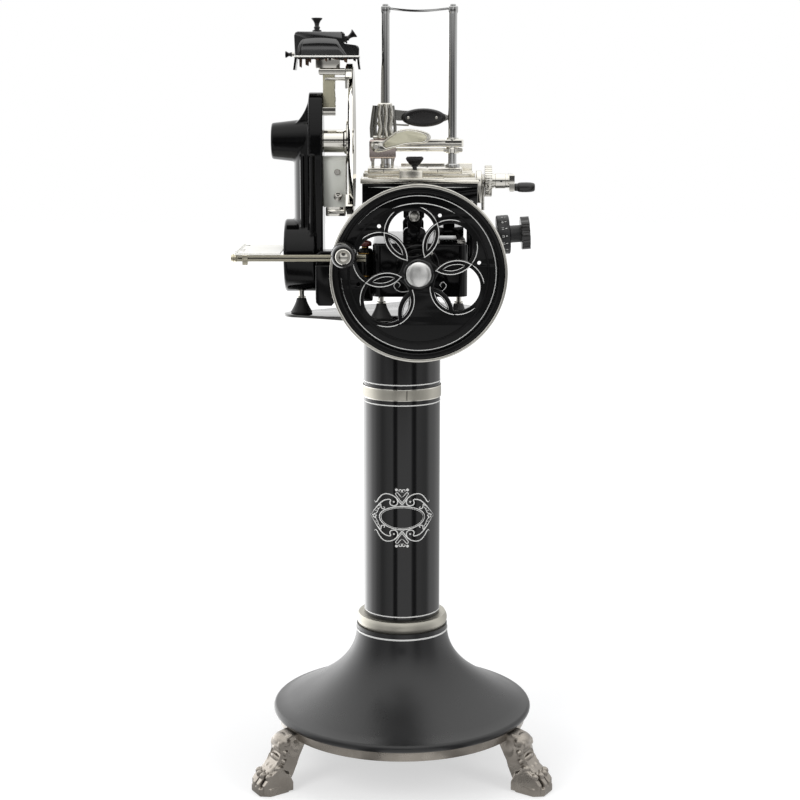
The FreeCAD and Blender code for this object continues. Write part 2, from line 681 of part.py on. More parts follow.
def lubricator():
    """Oil cup beside the base with its small lid."""
    r, lid, height = LUBRICATOR_RADIUS, LUBRICATOR_RADIUS * 0.45, LUBRICATOR_HEIGHT
    spot = (BASE_LEFT - r - SEAT, BASE_FRONT + 2 * r, BASE_TOP - height - LUBRICATOR_LID + 4.0)
    top = height + LUBRICATOR_LID
    return turned(spot, (0, 0, 1), (0, 0), (r, 0), (r, height), (lid, height), (lid, top), (0, top))


def bridge():
    """Black member between the base and the frame of the knife, a tunnel for the cross shaft in it."""
    half, low, high, edge = BRIDGE_DEPTH / 2, FOOT_TOP, BRIDGE_TOP, BRIDGE_EDGE
    mid = edge * 0.3
    beam = slab(
        "YZ", DRUM_RIGHT, BASE_LEFT, (-half, low), (half, low), (half, high - edge),
        ((half - mid, high - mid), (half - edge, high)), (edge - half, high),
        ((mid - half, high - mid), (-half, high - edge)),
    )
    arm_foot = block(DRUM_RIGHT, ARM_RIGHT, -half, half, DRUM_Z, high)
    tunnel = rod(CROSS_RADIUS + TUNNEL_GAP, (DRUM_RIGHT, 0, DRIVE_Z), (BASE_LEFT, 0, DRIVE_Z))
    return beam.cut(arm_foot).cut(tunnel)


# ---------------------------------------------------------------- knife and its frame
def blade_frame():
    """Black casting of the knife side: drum for the chain drive, ribbed neck, arm and bearing boss."""
    root = NECK_LEFT - BOSS_LEFT + 4.0
    boss = turned(
        (BOSS_LEFT, 0, KNIFE_Z), (1, 0, 0), (0, 0), (BOSS_RADIUS - 2.0, 0), (BOSS_RADIUS, 2.0),
        (BOSS_ROOT_RADIUS, ARM_LEFT - BOSS_LEFT), (BOSS_ROOT_RADIUS, ARM_RIGHT - BOSS_LEFT),
        (0, ARM_RIGHT - BOSS_LEFT),
    )
    wide, slim = ARM_HALF, ARM_HALF / 2
    arm = slab(
        "YZ", ARM_LEFT, ARM_RIGHT, (-wide, DRUM_Z), (wide, DRUM_Z), (wide - 2.0, KNIFE_Z - 30.0),
        ((wide - 10.0, KNIFE_Z + 34.0), (slim, ARM_TOP - 12.0)),
        ((slim / 2, ARM_TOP - 2.0), (0.0, ARM_TOP)), ((-slim / 2, ARM_TOP - 2.0), (-slim, ARM_TOP - 12.0)),
        ((10.0 - wide, KNIFE_Z + 34.0), (2.0 - wide, KNIFE_Z - 30.0)),
    )
    foot = BOSS_LEFT + root + 1.0
    fairing = slab(
        "XZ", -FAIRING_HALF, FAIRING_HALF, (ARM_LEFT, KNIFE_Z), (ARM_LEFT, ARM_TOP - 12.0),
        ((ARM_LEFT - 7.0, KNIFE_Z + 52.0), (foot, KNIFE_Z + BOSS_RADIUS)), (foot, KNIFE_Z),
    )
    neck = slab(
        "XY", DRUM_Z, KNIFE_Z, (ARM_LEFT, 8.0 - wide), (ARM_LEFT, wide - 8.0),
        (NECK_LEFT + 14.0, wide - 12.0), ((NECK_LEFT, 0.0), (NECK_LEFT + 14.0, 12.0 - wide)),
    )
    ribs = []
    for x, reach in ((ARM_LEFT + 6.0, wide + 5.0), (NECK_LEFT + 16.0, wide - 7.0)):
        ribs.append(block(x - 3.5, x + 3.5, -reach, reach, DRUM_Z, KNIFE_Z - 24.0, 3.0))
    width = DRUM_RIGHT - DRUM_LEFT
    drum = turned(
        (DRUM_LEFT, 0, DRUM_Z), (1, 0, 0), (0, 0), (DRUM_RADIUS - 3.0, 0), (DRUM_RADIUS, 3.0),
        (DRUM_RADIUS, width), (0, width),
    )
    body = joined(boss, arm, fairing, neck, *ribs, drum)
    knife_bore = rod(KNIFE_SHAFT_RADIUS + FIT, (BOSS_LEFT + SHAFT_END, 0, KNIFE_Z), (ARM_RIGHT, 0, KNIFE_Z))
    cross_bore = rod(CROSS_RADIUS + FIT, (DRUM_LEFT + SHAFT_END, 0, DRIVE_Z), (ARM_RIGHT, 0, DRIVE_Z))
    return body.cut(knife_bore).cut(cross_bore)


def guard_ring():
    """Chromed guard around the knife, open where the meat meets the edge."""
    ring = turned(
        (GUARD_LEFT, 0, KNIFE_Z), (1, 0, 0), (GUARD_INNER - GUARD_WEB, 0), (GUARD_INNER + GUARD_WALL, 0),
        (GUARD_INNER + GUARD_WALL, GUARD_LIP), (GUARD_INNER, GUARD_LIP), (GUARD_INNER, GUARD_THICKNESS),
        (GUARD_INNER - GUARD_WEB, GUARD_THICKNESS),
    )
    reach = 2 * GUARD_INNER
    half = math.radians(GUARD_OPEN / 2)
    wedge = slab(
        "YZ", GUARD_LEFT, GUARD_LEFT + GUARD_LIP, (0.0, KNIFE_Z),
        (-reach, KNIFE_Z + reach * math.tan(half)), (-reach, KNIFE_Z - reach * math.tan(half)),
    )
    return ring.cut(wedge)


def guard_bracket_lower():
    """Grey bracket that ties the guard to the arm below the knife's shaft."""
    half = 26.0
    top = KNIFE_Z - KNIFE_HUB_RADIUS - 6.0
    low = KNIFE_Z - GUARD_INNER
    body = slab(
        "YZ", ARM_RIGHT, GUARD_LEFT, (-half, low), (half, low), (half + 8.0, top - 20.0),
        ((half + 4.0, top - 4.0), (half - 6.0, top)), (6.0 - half, top),
        ((-half - 4.0, top - 4.0), (-half - 8.0, top - 20.0)),
    )
    return body


def guard_bracket_upper():
    """Chromed bracket from the arm up to the guard and the seat of the sharpener."""
    top = GUARD_TOP - SEAT_DROP
    post = block(ARM_RIGHT, ARM_RIGHT + 22.0, -14.0, 14.0, KNIFE_Z + 44.0, top, 4.0)
    seat = block(ARM_RIGHT - 16.0, GUARD_LEFT, -SLIDE_HALF - 2.0, SLIDE_HALF + 2.0, top - SEAT_HEIGHT, top)
    stem = block(ARM_RIGHT - STEM_LEFT, ARM_RIGHT + STEM_RIGHT, -STEM_HALF, STEM_HALF, top, top + SEAT_HEIGHT)
    return joined(post, seat, stem)


def knife():
    """Dished round knife with a ground edge."""
    core = KNIFE_SHAFT_RADIUS * 0.5
    bend, ground = KNIFE_RADIUS - KNIFE_DISHED, KNIFE_RADIUS - KNIFE_BEVEL
    return turned(
        (KNIFE_BACK, 0, KNIFE_Z), (1, 0, 0), (core, 0), (bend, 0), (KNIFE_RADIUS, KNIFE_DISH),
        (ground, KNIFE_DISH - 2.6), (bend - 1.5, KNIFE_THICKNESS), (core, KNIFE_THICKNESS),
    )


def knife_shaft():
    """Shaft of the knife with its polished hub, flange and locking nut."""
    end = BOSS_LEFT + SHAFT_END + GAP
    hub_left = ARM_RIGHT + GAP
    length = KNIFE_BACK - end
    core = KNIFE_SHAFT_RADIUS * 0.5 - FIT
    nut = KNIFE_FLANGE_RADIUS * 0.55
    face = length + KNIFE_THICKNESS
    return turned(
        (end, 0, KNIFE_Z), (1, 0, 0), (0, 0), (KNIFE_SHAFT_RADIUS, 0), (KNIFE_SHAFT_RADIUS, hub_left - end),
        (KNIFE_HUB_RADIUS, hub_left - end), (KNIFE_HUB_RADIUS, KNIFE_SEAT - end),
        (KNIFE_FLANGE_RADIUS, KNIFE_SEAT - end), (KNIFE_FLANGE_RADIUS, length),
        (core, length), (core, face), (nut, face), (nut, face + KNIFE_NUT), (0, face + KNIFE_NUT),
    )


# ---------------------------------------------------------------- sharpener
def head_profile(inset):
    """Side outline of the sharpener's cover: high dome on the left, lower lobe on the right."""
    left, right = HEAD_LEFT + inset, HEAD_RIGHT - inset
    top, low = HEAD_TOP - inset, HEAD_BOTTOM
    step = top - HEAD_DROP
    lobe = right - HEAD_LOBE
    soft = HEAD_ROUND
    return (
        (left, low), (right, low), (right, step - soft * 0.65),
        ((right - soft * 0.2, step - soft * 0.2), (right - soft * 0.65, step)),
        (lobe + soft * 1.3, step + 1.0),
        ((lobe + soft * 0.65, step + soft * 0.65), (lobe, top)), (left + soft, top),
        ((left + soft * 0.3, top - soft * 0.3), (left, top - soft)),
    )


def sharpener_cover():
    """Black domed cover over the two stones."""
    half = HEAD_DEPTH / 2
    skin = slab("XZ", -half, half, *head_profile(0.0))
    skin = skin.cut(slab("XZ", HEAD_WALL - half, half - HEAD_WALL, *head_profile(HEAD_WALL)))
    skin = skin.cut(rod(STONE_SPINDLE + GAP, left_axis(-5.0), left_axis(2 * HEAD_WALL)))
    skin = skin.cut(rod(STONE_SPINDLE + GAP, right_axis(10.0), right_axis(PLUNGER_KNOB + 7.0)))
    knob = (knob_x(), 0, HEAD_TOP - 2 * HEAD_WALL)
    return skin.cut(rod(STONE_SPINDLE + FIT, knob, (knob_x(), 0, HEAD_TOP + 1.0)))


def knob_x():
    """Place of the knob on the cover."""
    return HEAD_LEFT + KNOB_PLACE


def left_axis(along):
    """A point on the level spindle of the grinding stone."""
    return (HEAD_LEFT + along, STONE_OFFSET, HEAD_BOTTOM + 4.0)


def right_axis(along):
    """A point on the slanted spindle of the honing stone."""
    slant = math.radians(SPINDLE_SLANT)
    x0, z0 = HEAD_RIGHT - PLUNGER_START, HEAD_BOTTOM + 3.0
    return (x0 + along * math.cos(slant), 0.0, z0 + along * math.sin(slant))


def sharpener_block():
    """Chromed slide inside the cover, astride the seat's stem."""
    base, middle = GUARD_TOP - SEAT_DROP, HEAD_BOTTOM + 14.0
    x0, x1 = ARM_RIGHT - SLIDE_LEFT, ARM_RIGHT + SLIDE_RIGHT
    stem0, stem1 = ARM_RIGHT - STEM_LEFT - FIT, ARM_RIGHT + STEM_RIGHT + FIT
    body = block(x0, x1, -SLIDE_HALF, SLIDE_HALF, base, middle)
    post = block(knob_x() - 6.0, knob_x() + 6.0, -8.0, 8.0, middle, HEAD_TOP - HEAD_WALL)
    slot = block(stem0, stem1, -STEM_HALF - FIT, STEM_HALF + FIT, base, base + SEAT_HEIGHT + GAP)
    solid = joined(body, post).cut(slot)
    solid = solid.cut(rod(STONE_SPINDLE + FIT, left_axis(0.0), left_axis(HEAD_WIDTH)))
    solid = solid.cut(rod(STONE_SPINDLE + FIT, right_axis(-4.0), right_axis(PLUNGER_KNOB - 7.0)))
    return solid.cut(rod(STONE_SPINDLE, (knob_x(), 0, HEAD_TOP - 16.0), (knob_x(), 0, HEAD_TOP)))


def waisted_knob(origin, axis, radius, height, shank):
    """Flat-topped black knob on a waist and a collar, with a steel shank below it."""
    thin, collar, waist = STONE_SPINDLE - FIT, radius * 0.72, radius * 0.42
    low, high = height * 0.16, height * 0.74
    return turned(
        origin, axis, (0, -shank), (thin, -shank), (thin, 0), (collar, 0), (collar, low),
        (waist, low), (waist, high), (radius, high), (radius, height), (0, height),
    )


def sharpener_knob():
    """Waisted knob on top of the cover."""
    return waisted_knob((knob_x(), 0, HEAD_TOP + GAP), (0, 0, 1), KNOB_RADIUS, KNOB_HEIGHT, KNOB_SHANK)


def left_stone():
    """Grinding stone on its level push spindle with a small black knob."""
    stone_x = ARM_RIGHT + SLIDE_RIGHT + GAP - HEAD_LEFT
    stone = rod(STONE_RADIUS, left_axis(stone_x), left_axis(stone_x + STONE_THICKNESS))
    spindle = rod(STONE_SPINDLE, left_axis(-STONE_STROKE - 2 * GAP), left_axis(stone_x))
    knob = rod(KNOB_RADIUS * 0.8, left_axis(-STONE_STROKE - 12.0), left_axis(-STONE_STROKE - GAP))
    return joined(stone, spindle, knob)


def right_plunger():
    """Slanted push spindle of the honing stone with its waisted knob."""
    slant = math.radians(SPINDLE_SLANT)
    return waisted_knob(
        right_axis(PLUNGER_KNOB), (math.cos(slant), 0, math.sin(slant)), KNOB_RADIUS, KNOB_HEIGHT,
        PLUNGER_KNOB - STONE_STROKE,
    )


# ---------------------------------------------------------------- flywheel
def petal_centre(turn):
    """A point of the rosette's circle, turned clockwise from the top as seen from the front."""
    angle = math.radians(90.0 - turn)
    return (WHEEL_X + ROSETTE_RADIUS * math.cos(angle), DRIVE_Z + ROSETTE_RADIUS * math.sin(angle))


def disc_y(radius, centre, y0, y1):
    """A round disc across Y."""
    return rod(radius, (centre[0], y0, centre[1]), (centre[0], y1, centre[1]))


def leaf(turn, radius, y0, y1):
    """Pointed oval where the circles of two neighbouring petals cross."""
    first = disc_y(radius, petal_centre(turn), y0, y1)
    return first.common(disc_y(radius, petal_centre(turn + 360.0 / ROSETTE_COUNT), y0, y1))


def flywheel():
    """Cast flywheel: a rim, a hub and a web pierced as a six-petalled rosette with open leaves."""
    centre = (WHEEL_X, DRIVE_Z)
    step = 360.0 / ROSETTE_COUNT
    web_front = WHEEL_MIDDLE - WEB_THICKNESS / 2
    web_back = WHEEL_MIDDLE + WEB_THICKNESS / 2
    outer = WHEEL_RADIUS - RIM_SKIN
    body = disc_y(outer, centre, WHEEL_FRONT, WHEEL_BACK)
    body = body.cut(disc_y(outer - RIM_BLACK, centre, WHEEL_FRONT, web_front))
    body = body.cut(disc_y(outer - RIM_BLACK, centre, web_back, WHEEL_BACK))
    raised_front = web_front - LEAF_RAISE
    turns = [ROSETTE_TURN + i * step for i in range(ROSETTE_COUNT)]
    leaves = [leaf(turn, LEAF_CIRCLE, raised_front, web_back) for turn in turns]
    petals = [
        disc_y(PETAL_RADIUS, petal_centre(turn), raised_front, web_back)
        for i, turn in enumerate(turns) if i != ROSETTE_SOLID
    ]
    openings = petals[0].multiFuse(petals[1:]).cut(Part.makeCompound(leaves))
    body = body.cut(openings)
    hub = disc_y(HUB_RADIUS, centre, HUB_FRONT, HUB_FRONT + HUB_LENGTH)
    seat = disc_y(COLLAR_RADIUS, (HANDLE_X, HANDLE_Z), WHEEL_FRONT, web_back)
    body = joined(body, hub, seat, *leaves)
    for i, turn in enumerate(turns):
        body = body.cut(leaf(turn, LEAF_CIRCLE - LEAF_BAND, raised_front, web_back))
        if i in (ROSETTE_SOLID - 1, ROSETTE_SOLID):
            continue
        angle = math.radians(90.0 - turn - step / 2)
        drop = (WHEEL_X + DROP_PLACE * math.cos(angle), DRIVE_Z + DROP_PLACE * math.sin(angle))
        body = body.cut(disc_y(DROP_RADIUS, drop, web_front, web_back))
    body = body.cut(disc_y(SHAFT_RADIUS + SEAT, centre, HUB_FRONT, HUB_FRONT + HUB_LENGTH))
    return body.cut(disc_y(SPINDLE_RADIUS + SEAT, (HANDLE_X, HANDLE_Z), WHEEL_FRONT, web_back))


def flywheel_rim():
    """Polished band around the rim."""
    centre = (WHEEL_X, DRIVE_Z)
    band = disc_y(WHEEL_RADIUS, centre, WHEEL_FRONT - 1.0, WHEEL_BACK)
    return band.cut(disc_y(WHEEL_RADIUS - RIM_SKIN + SEAT, centre, WHEEL_FRONT - 1.0, WHEEL_BACK))


def flywheel_shaft():
    """Shaft of the flywheel with its bevel inside the base and a low dome on its front end."""
    inner = PINION_RADIUS + GAP
    length = -HUB_FRONT - inner
    bevel, r, h = BEVEL_RADIUS, HUB_CAP_RADIUS, HUB_CAP_HEIGHT
    return turned(
        (WHEEL_X, -inner, DRIVE_Z), (0, -1, 0), (0, 0), (bevel, 0), (bevel, BEVEL_FACE),
        (SHAFT_RADIUS, BEVEL_FACE), (SHAFT_RADIUS, length), (r, length), (r, length + h * 0.4),
        (r - 5.0, length + h), (0, length + h),
    )


def handle_spindle():
    """Chromed spindle of the handle with its collar and the button on its end."""
    spot = (HANDLE_X, HANDLE_Z)
    web_back = WHEEL_MIDDLE + WEB_THICKNESS / 2
    return joined(
        disc_y(SPINDLE_RADIUS, spot, SPINDLE_FRONT, web_back),
        disc_y(COLLAR_RADIUS, spot, WHEEL_FRONT - COLLAR_THICKNESS, WHEEL_FRONT),
        disc_y(BUTTON_RADIUS, spot, SPINDLE_FRONT - BUTTON_HEIGHT, SPINDLE_FRONT),
    )


def handle_grip():
    """Black turned grip that spins on the spindle."""
    spot = (HANDLE_X, WHEEL_FRONT - COLLAR_THICKNESS - GAP, HANDLE_Z)
    bore, r, edge, shoulder = SPINDLE_RADIUS + FIT, GRIP_RADIUS, GRIP_EDGE, GRIP_NECK_LENGTH
    return turned(
        spot, (0, -1, 0), (bore, 0), (GRIP_NECK, 0), (GRIP_NECK, shoulder), (r - edge, shoulder),
        (r, shoulder + edge), (r, GRIP_LENGTH - edge), (r - edge, GRIP_LENGTH), (bore, GRIP_LENGTH),
    )


def cross_shaft():
    """Shaft from its bevel pinion in the base to the chain wheel in the drum."""
    left = DRUM_LEFT + SHAFT_END + GAP
    right = WHEEL_X - BEVEL_RADIUS - GAP
    shaft = rod(CROSS_RADIUS, (left, 0, DRIVE_Z), (right, 0, DRIVE_Z))
    return joined(shaft, rod(PINION_RADIUS, (right - BEVEL_FACE, 0, DRIVE_Z), (right, 0, DRIVE_Z)))


# ---------------------------------------------------------------- slice tray
def tray_plate():
    """Polished tray that catches the slices."""
    right = DRUM_LEFT - 2.0
    back = TRAY_FRONT + TRAY_DEPTH
    plate = block(TRAY_LEFT, right, TRAY_FRONT, back, TRAY_TOP - TRAY_THICKNESS, TRAY_TOP)
    lip = block(TRAY_LEFT, TRAY_LEFT + 2.0, TRAY_FRONT, back, TRAY_TOP, TRAY_TOP + 3.0)
    slot = block(TRAY_LEFT + 9.0, TRAY_LEFT + 12.0, back - 34.0, back - 14.0, TRAY_TOP - 9.0, TRAY_TOP)
    slot2 = slot.copy()
    slot2.translate(Vector(0, -TRAY_DEPTH * 0.6, 0))
    return joined(plate, lip).cut(slot).cut(slot2)


def tray_rail():
    """Square rail under the tray's front edge, with its end stop and clamp."""
    top = TRAY_TOP - TRAY_THICKNESS
    y0, y1 = TRAY_FRONT, TRAY_FRONT + RAIL_DEPTH
    rail = block(TRAY_LEFT - 4.0, RAIL_RIGHT, y0, y1, top - RAIL_HEIGHT, top)
    stop = block(TRAY_LEFT - 8.0, TRAY_LEFT - 4.0, y0 - 2.0, y1 + 2.0, top - RAIL_HEIGHT - 2.0, top + 2.0)
    grip = block(TRAY_LEFT + 12.0, TRAY_LEFT + 21.0, y0 - 1.5, y1 + 4.0, top - RAIL_HEIGHT - 6.0, top)
    return joined(rail, stop, grip)


def tray_clamp():
    """Black bracket in front of the bridge that the tray's rail slides through."""
    top = TRAY_TOP - TRAY_THICKNESS
    low = top - RAIL_HEIGHT
    y0, y1 = TRAY_FRONT, TRAY_FRONT + RAIL_DEPTH
    x0, x1 = RAIL_CLAMP_LEFT, RAIL_CLAMP_LEFT + RAIL_CLAMP_WIDTH
    arm = slab(
        "YZ", x0, x1, (-BRIDGE_DEPTH / 2, FOOT_TOP), (-BRIDGE_DEPTH / 2, BRIDGE_TOP - 12.0), (y1 + 9.0, low),
        (y1 + 9.0, top + 5.0), (y0 - 5.0, top + 5.0), (y0 - 5.0, FOOT_TOP + 24.0), (y0 + 20.0, FOOT_TOP),
    )
    return arm.cut(block(x0, x1, y0 - FIT, y1 + FIT, low - FIT, top + FIT))


# ---------------------------------------------------------------- thickness dial
def dial_frame(along):
    """A point on the dial's tilted axis, measured from its inner face."""
    tilt = math.radians(DIAL_TILT)
    return (DIAL_X + along * math.cos(tilt), DIAL_Y, DIAL_Z + along * math.sin(tilt))


def thickness_dial():
    """Black numbered drum of the thickness setting."""
    drum = rod(DIAL_RADIUS, dial_frame(0.0), dial_frame(DIAL_THICKNESS))
    neck = rod(DIAL_NECK_RADIUS, dial_frame(DIAL_THICKNESS), dial_frame(DIAL_THICKNESS + DIAL_NECK))
    return joined(drum, neck).cut(rod(DIAL_SPINDLE + FIT, dial_frame(0.0), dial_frame(DIAL_THICKNESS - 4.0)))


def dial_knob():
    """Lobed hand knob of the dial."""
    start = DIAL_THICKNESS + DIAL_NECK
    knob = Part.makeCylinder(DIAL_KNOB_RADIUS, DIAL_KNOB)
    for i in range(DIAL_LOBES):
        angle = 2 * math.pi * i / DIAL_LOBES
        reach = DIAL_KNOB_RADIUS + DIAL_FLUTE_PLACE
        spot = Vector(reach * math.cos(angle), reach * math.sin(angle), 0)
        knob = knob.cut(Part.makeCylinder(DIAL_FLUTE, DIAL_KNOB, spot))
    tilt = math.radians(DIAL_TILT)
    return aimed(knob, dial_frame(start), (math.cos(tilt), 0, math.sin(tilt)))


def dial_bracket():
    """Small bearing arm on the side of the base, with the dial's spindle."""
    half = DIAL_RADIUS * 0.38
    right = BASE_RIGHT + DIAL_ARM
    arm = slab(
        "YZ", BASE_RIGHT, right, (DIAL_Y - half, BASE_TOP - 36.0), (DIAL_Y + half, BASE_TOP - 36.0),
        (DIAL_Y + half, DIAL_Z), ((DIAL_Y, DIAL_Z + half), (DIAL_Y - half, DIAL_Z)),
    )
    spindle = rod(DIAL_SPINDLE, dial_frame(right - 4.0 - DIAL_X), dial_frame(DIAL_THICKNESS - 4.0 - GAP))
    return joined(arm, spindle)


# ---------------------------------------------------------------- carriage
def carriage_ribs():
    """Middle of each cross rib of the carriage along Y, the end walls included."""
    first = CARRIAGE_FRONT + CARRIAGE_WALL / 2
    return [first + (CARRIAGE_DEPTH - CARRIAGE_WALL) * i / CARRIAGE_ROOMS for i in range(CARRIAGE_ROOMS + 1)]


def carriage_frame():
    """Black cast carriage with deep aprons, open and ribbed below, and a trough for the feed screw."""
    left, right, low, top = CARRIAGE_LEFT, CARRIAGE_RIGHT, CARRIAGE_BOTTOM, CARRIAGE_TOP
    body = block(left, right, CARRIAGE_FRONT, CARRIAGE_BACK, low, top)
    half, ribs = CARRIAGE_WALL / 2, carriage_ribs()
    sides = (left + CARRIAGE_WALL, BAR_X - POST_WIDTH / 2), (BAR_X + POST_WIDTH / 2, right - CARRIAGE_WALL)
    for x0, x1 in sides:
        for y0, y1 in zip(ribs, ribs[1:]):
            body = body.cut(block(x0, x1, y0 + half, y1 - half, low, CARRIAGE_ROOF))
    wide = SCREW_TROUGH / 2
    trough = block(SCREW_END - GAP, right, SCREW_Y - wide, SCREW_Y + wide, SCREW_Z - wide, top)
    seat_half = POST_WIDTH / 2 - 1.0 + FIT
    y0, y1 = SLEEVE_Y - SLEEVE_LENGTH / 2 - FIT, SLEEVE_Y + SLEEVE_LENGTH / 2 + FIT
    seat = block(BAR_X - seat_half, BAR_X + seat_half, y0, y1, low, low + SLEEVE_RISE)
    return body.cut(trough).cut(seat)


def carriage_deck():
    """Chromed top plates of the carriage, a low one on the right and a high one on the left."""
    lip = DECK_LIP
    front, back, low = CARRIAGE_FRONT - lip, CARRIAGE_BACK + lip, CARRIAGE_TOP
    high = block(CARRIAGE_LEFT - lip, DECK_SPLIT_X, front, back, low, DECK_TOP)
    step = block(DECK_SPLIT_X, CARRIAGE_RIGHT + lip, front, back, low, DECK_TOP - DECK_STEP)
    wide, room = SCREW_TROUGH / 2, BRACKET_HALF
    trough = block(SCREW_END - GAP, CARRIAGE_RIGHT + 2 * lip, SCREW_Y - wide, SCREW_Y + wide, low, DECK_TOP)
    notch = block(CARRIAGE_RIGHT, CARRIAGE_RIGHT + lip, SCREW_Y - room, SCREW_Y + room, low, DECK_TOP)
    return joined(high, step).cut(trough).cut(notch)


def bar_sleeve():
    """Bearing sleeve under the carriage, around the guide bar."""
    left, right = BAR_X - POST_WIDTH / 2 + 1.0, BAR_X + POST_WIDTH / 2 - 1.0
    y0 = SLEEVE_Y - SLEEVE_LENGTH / 2
    low, edge = BAR_Z - BAR_RADIUS - 5.0, 6.0
    top = CARRIAGE_BOTTOM + SLEEVE_RISE
    body = slab(
        "XZ", y0, y0 + SLEEVE_LENGTH, (left + edge, low), (right - edge, low), (right, low + edge),
        (right, top), (left, top), (left, low + edge),
    )
    return body.cut(rod(BAR_RADIUS + FIT, (BAR_X, y0, BAR_Z), (BAR_X, y0 + SLEEVE_LENGTH, BAR_Z)))


def guide_shoe():
    """Black shoe under the right side of the carriage that runs on the base's strips."""
    (left, _), (_, right) = way_edges()
    low = BASE_TOP + WAY_HEIGHT + GAP
    high = low + SHOE_HEIGHT
    shoe = block(left, right, SLEEVE_Y - SHOE_LENGTH / 2, SLEEVE_Y + SHOE_LENGTH / 2, low, high)
    room = CARRIAGE_WALL / 2 + SHOE_NECK_GAP
    y0, y1 = carriage_ribs()[1] + room, carriage_ribs()[2] - room
    neck = block(left + SHOE_NECK_INSET, right - SHOE_NECK_INSET, y0, y1, high, CARRIAGE_ROOF)
    return joined(shoe, neck)


def feed_bracket():
    """Bearing plate of the feed screw on the right face of the carriage."""
    low = CARRIAGE_BOTTOM + 12.0
    high = SCREW_Z + BRACKET_HALF
    body = slab(
        "YZ", CARRIAGE_RIGHT, BRACKET_RIGHT, (SCREW_Y - BRACKET_HALF, low), (SCREW_Y + BRACKET_HALF, low),
        (SCREW_Y + BRACKET_HALF, SCREW_Z), ((SCREW_Y, high), (SCREW_Y - BRACKET_HALF, SCREW_Z)),
    )
    bore = rod(SCREW_RADIUS + FIT, (CARRIAGE_RIGHT, SCREW_Y, SCREW_Z), (BRACKET_RIGHT, SCREW_Y, SCREW_Z))
    return body.cut(bore)


def table_ways():
    """Two polished ways across the carriage for the meat table, and the fence behind it."""
    low = DECK_TOP - DECK_STEP
    bars = []
    for y0 in (TABLE_FRONT + 8.0, TABLE_BACK - 8.0 - WAY_BAR):
        y1, top = y0 + WAY_BAR, TABLE_BOTTOM - GAP
        bars.append(joined(
            block(CARRIAGE_LEFT, DECK_SPLIT_X, y0, y1, DECK_TOP, top),
            block(DECK_SPLIT_X, CARRIAGE_RIGHT, y0, y1, low, top),
        ))
    y0 = TABLE_BACK + FENCE_GAP
    y1, top = y0 + FENCE_DEPTH, TABLE_TOP + 4.0
    bars.append(joined(
        block(-2.0, DECK_SPLIT_X, y0, y1, DECK_TOP, top),
        block(DECK_SPLIT_X, CARRIAGE_RIGHT, y0, y1, low, top),
    ))
    return Part.makeCompound(bars)


def meat_table():
    """Chromed table that carries the meat, with the nut of the feed screw below its front edge."""
    plate = block(TABLE_LEFT, TABLE_RIGHT, TABLE_FRONT, TABLE_BACK, TABLE_BOTTOM, TABLE_TOP, 4.0)
    groove_x = ROD_LEFT_X + 22.0
    for i in range(GROOVE_COUNT):
        x = groove_x + GROOVE_PITCH * i
        groove = block(x, x + GROOVE_WIDTH, TABLE_FRONT, TABLE_BACK, TABLE_TOP - GROOVE_DEPTH, TABLE_TOP)
        plate = plate.cut(groove)
    half = SCREW_TROUGH / 2 - 1.0
    nut_right = NUT_LEFT + NUT_LENGTH
    tongue = block(NUT_LEFT, nut_right, SCREW_Y - half, TABLE_FRONT, DECK_TOP + GAP, THUMB_Z)
    nut = block(NUT_LEFT, nut_right, SCREW_Y - half, SCREW_Y + half, SCREW_Z - half + 1.0, THUMB_Z)
    bore = rod(SCREW_RADIUS + FIT, (NUT_LEFT, SCREW_Y, SCREW_Z), (nut_right, SCREW_Y, SCREW_Z))
    return joined(plate, tongue, nut).cut(bore)


def feed_screw():
    """Feed screw with its hub and the arm of the hand crank."""
    left, right, half = CRANK_LEFT, CRANK_LEFT + CRANK_THICKNESS, FEED_HUB_RADIUS
    end_y = SCREW_Y - CRANK_THROW
    shaft = rod(SCREW_RADIUS, (SCREW_END, SCREW_Y, SCREW_Z), (left, SCREW_Y, SCREW_Z))
    hub = rod(half, (FEED_HUB_LEFT, SCREW_Y, SCREW_Z), (left, SCREW_Y, SCREW_Z))
    arm = slab(
        "XY", SCREW_Z - half - 3.0, SCREW_Z + half, (left, end_y - 9.0), (right, end_y - 9.0),
        (right, SCREW_Y + half - 4.0), (right - 4.0, SCREW_Y + half), (left, SCREW_Y + half),
    )
    pin = rod(CRANK_PIN_RADIUS, (left, end_y, CRANK_PIN_Z), (PIN_END, end_y, CRANK_PIN_Z))
    return joined(shaft, hub, arm, pin)


def ratchet_disc():
    """Toothed index disc on the feed screw."""
    left, right = (DISC_LEFT, SCREW_Y, SCREW_Z), (FEED_HUB_LEFT, SCREW_Y, SCREW_Z)
    disc = rod(DISC_RADIUS, left, right)
    for i in range(DISC_TEETH):
        corner = Vector(DISC_LEFT, -DISC_TOOTH / 2, DISC_RADIUS - DISC_NOTCH)
        tooth = Part.makeBox(DISC_THICKNESS, DISC_TOOTH, DISC_TOOTH, corner)
        tooth.rotate(Vector(0, 0, 0), Vector(1, 0, 0), 360.0 * i / DISC_TEETH)
        tooth.translate(Vector(0, SCREW_Y, SCREW_Z))
        disc = disc.cut(tooth)
    return disc.cut(rod(SCREW_RADIUS + SEAT, left, right))


def crank_grip():
    """Black grip that turns on the crank's pin."""
    bore, r, slim = CRANK_PIN_RADIUS + FIT, CRANK_GRIP_RADIUS, CRANK_GRIP_RADIUS - 2.0
    length, neck, wall = CRANK_GRIP_LENGTH, CRANK_GRIP_NECK, CRANK_GRIP_WALL
    return turned(
        (CRANK_GRIP_LEFT, SCREW_Y - CRANK_THROW, CRANK_PIN_Z), (1, 0, 0), (bore, 0), (slim, 0), (slim, neck),
        (r, neck), (r, length), (0, length), (0, length - wall), (bore, length - wall),
    )


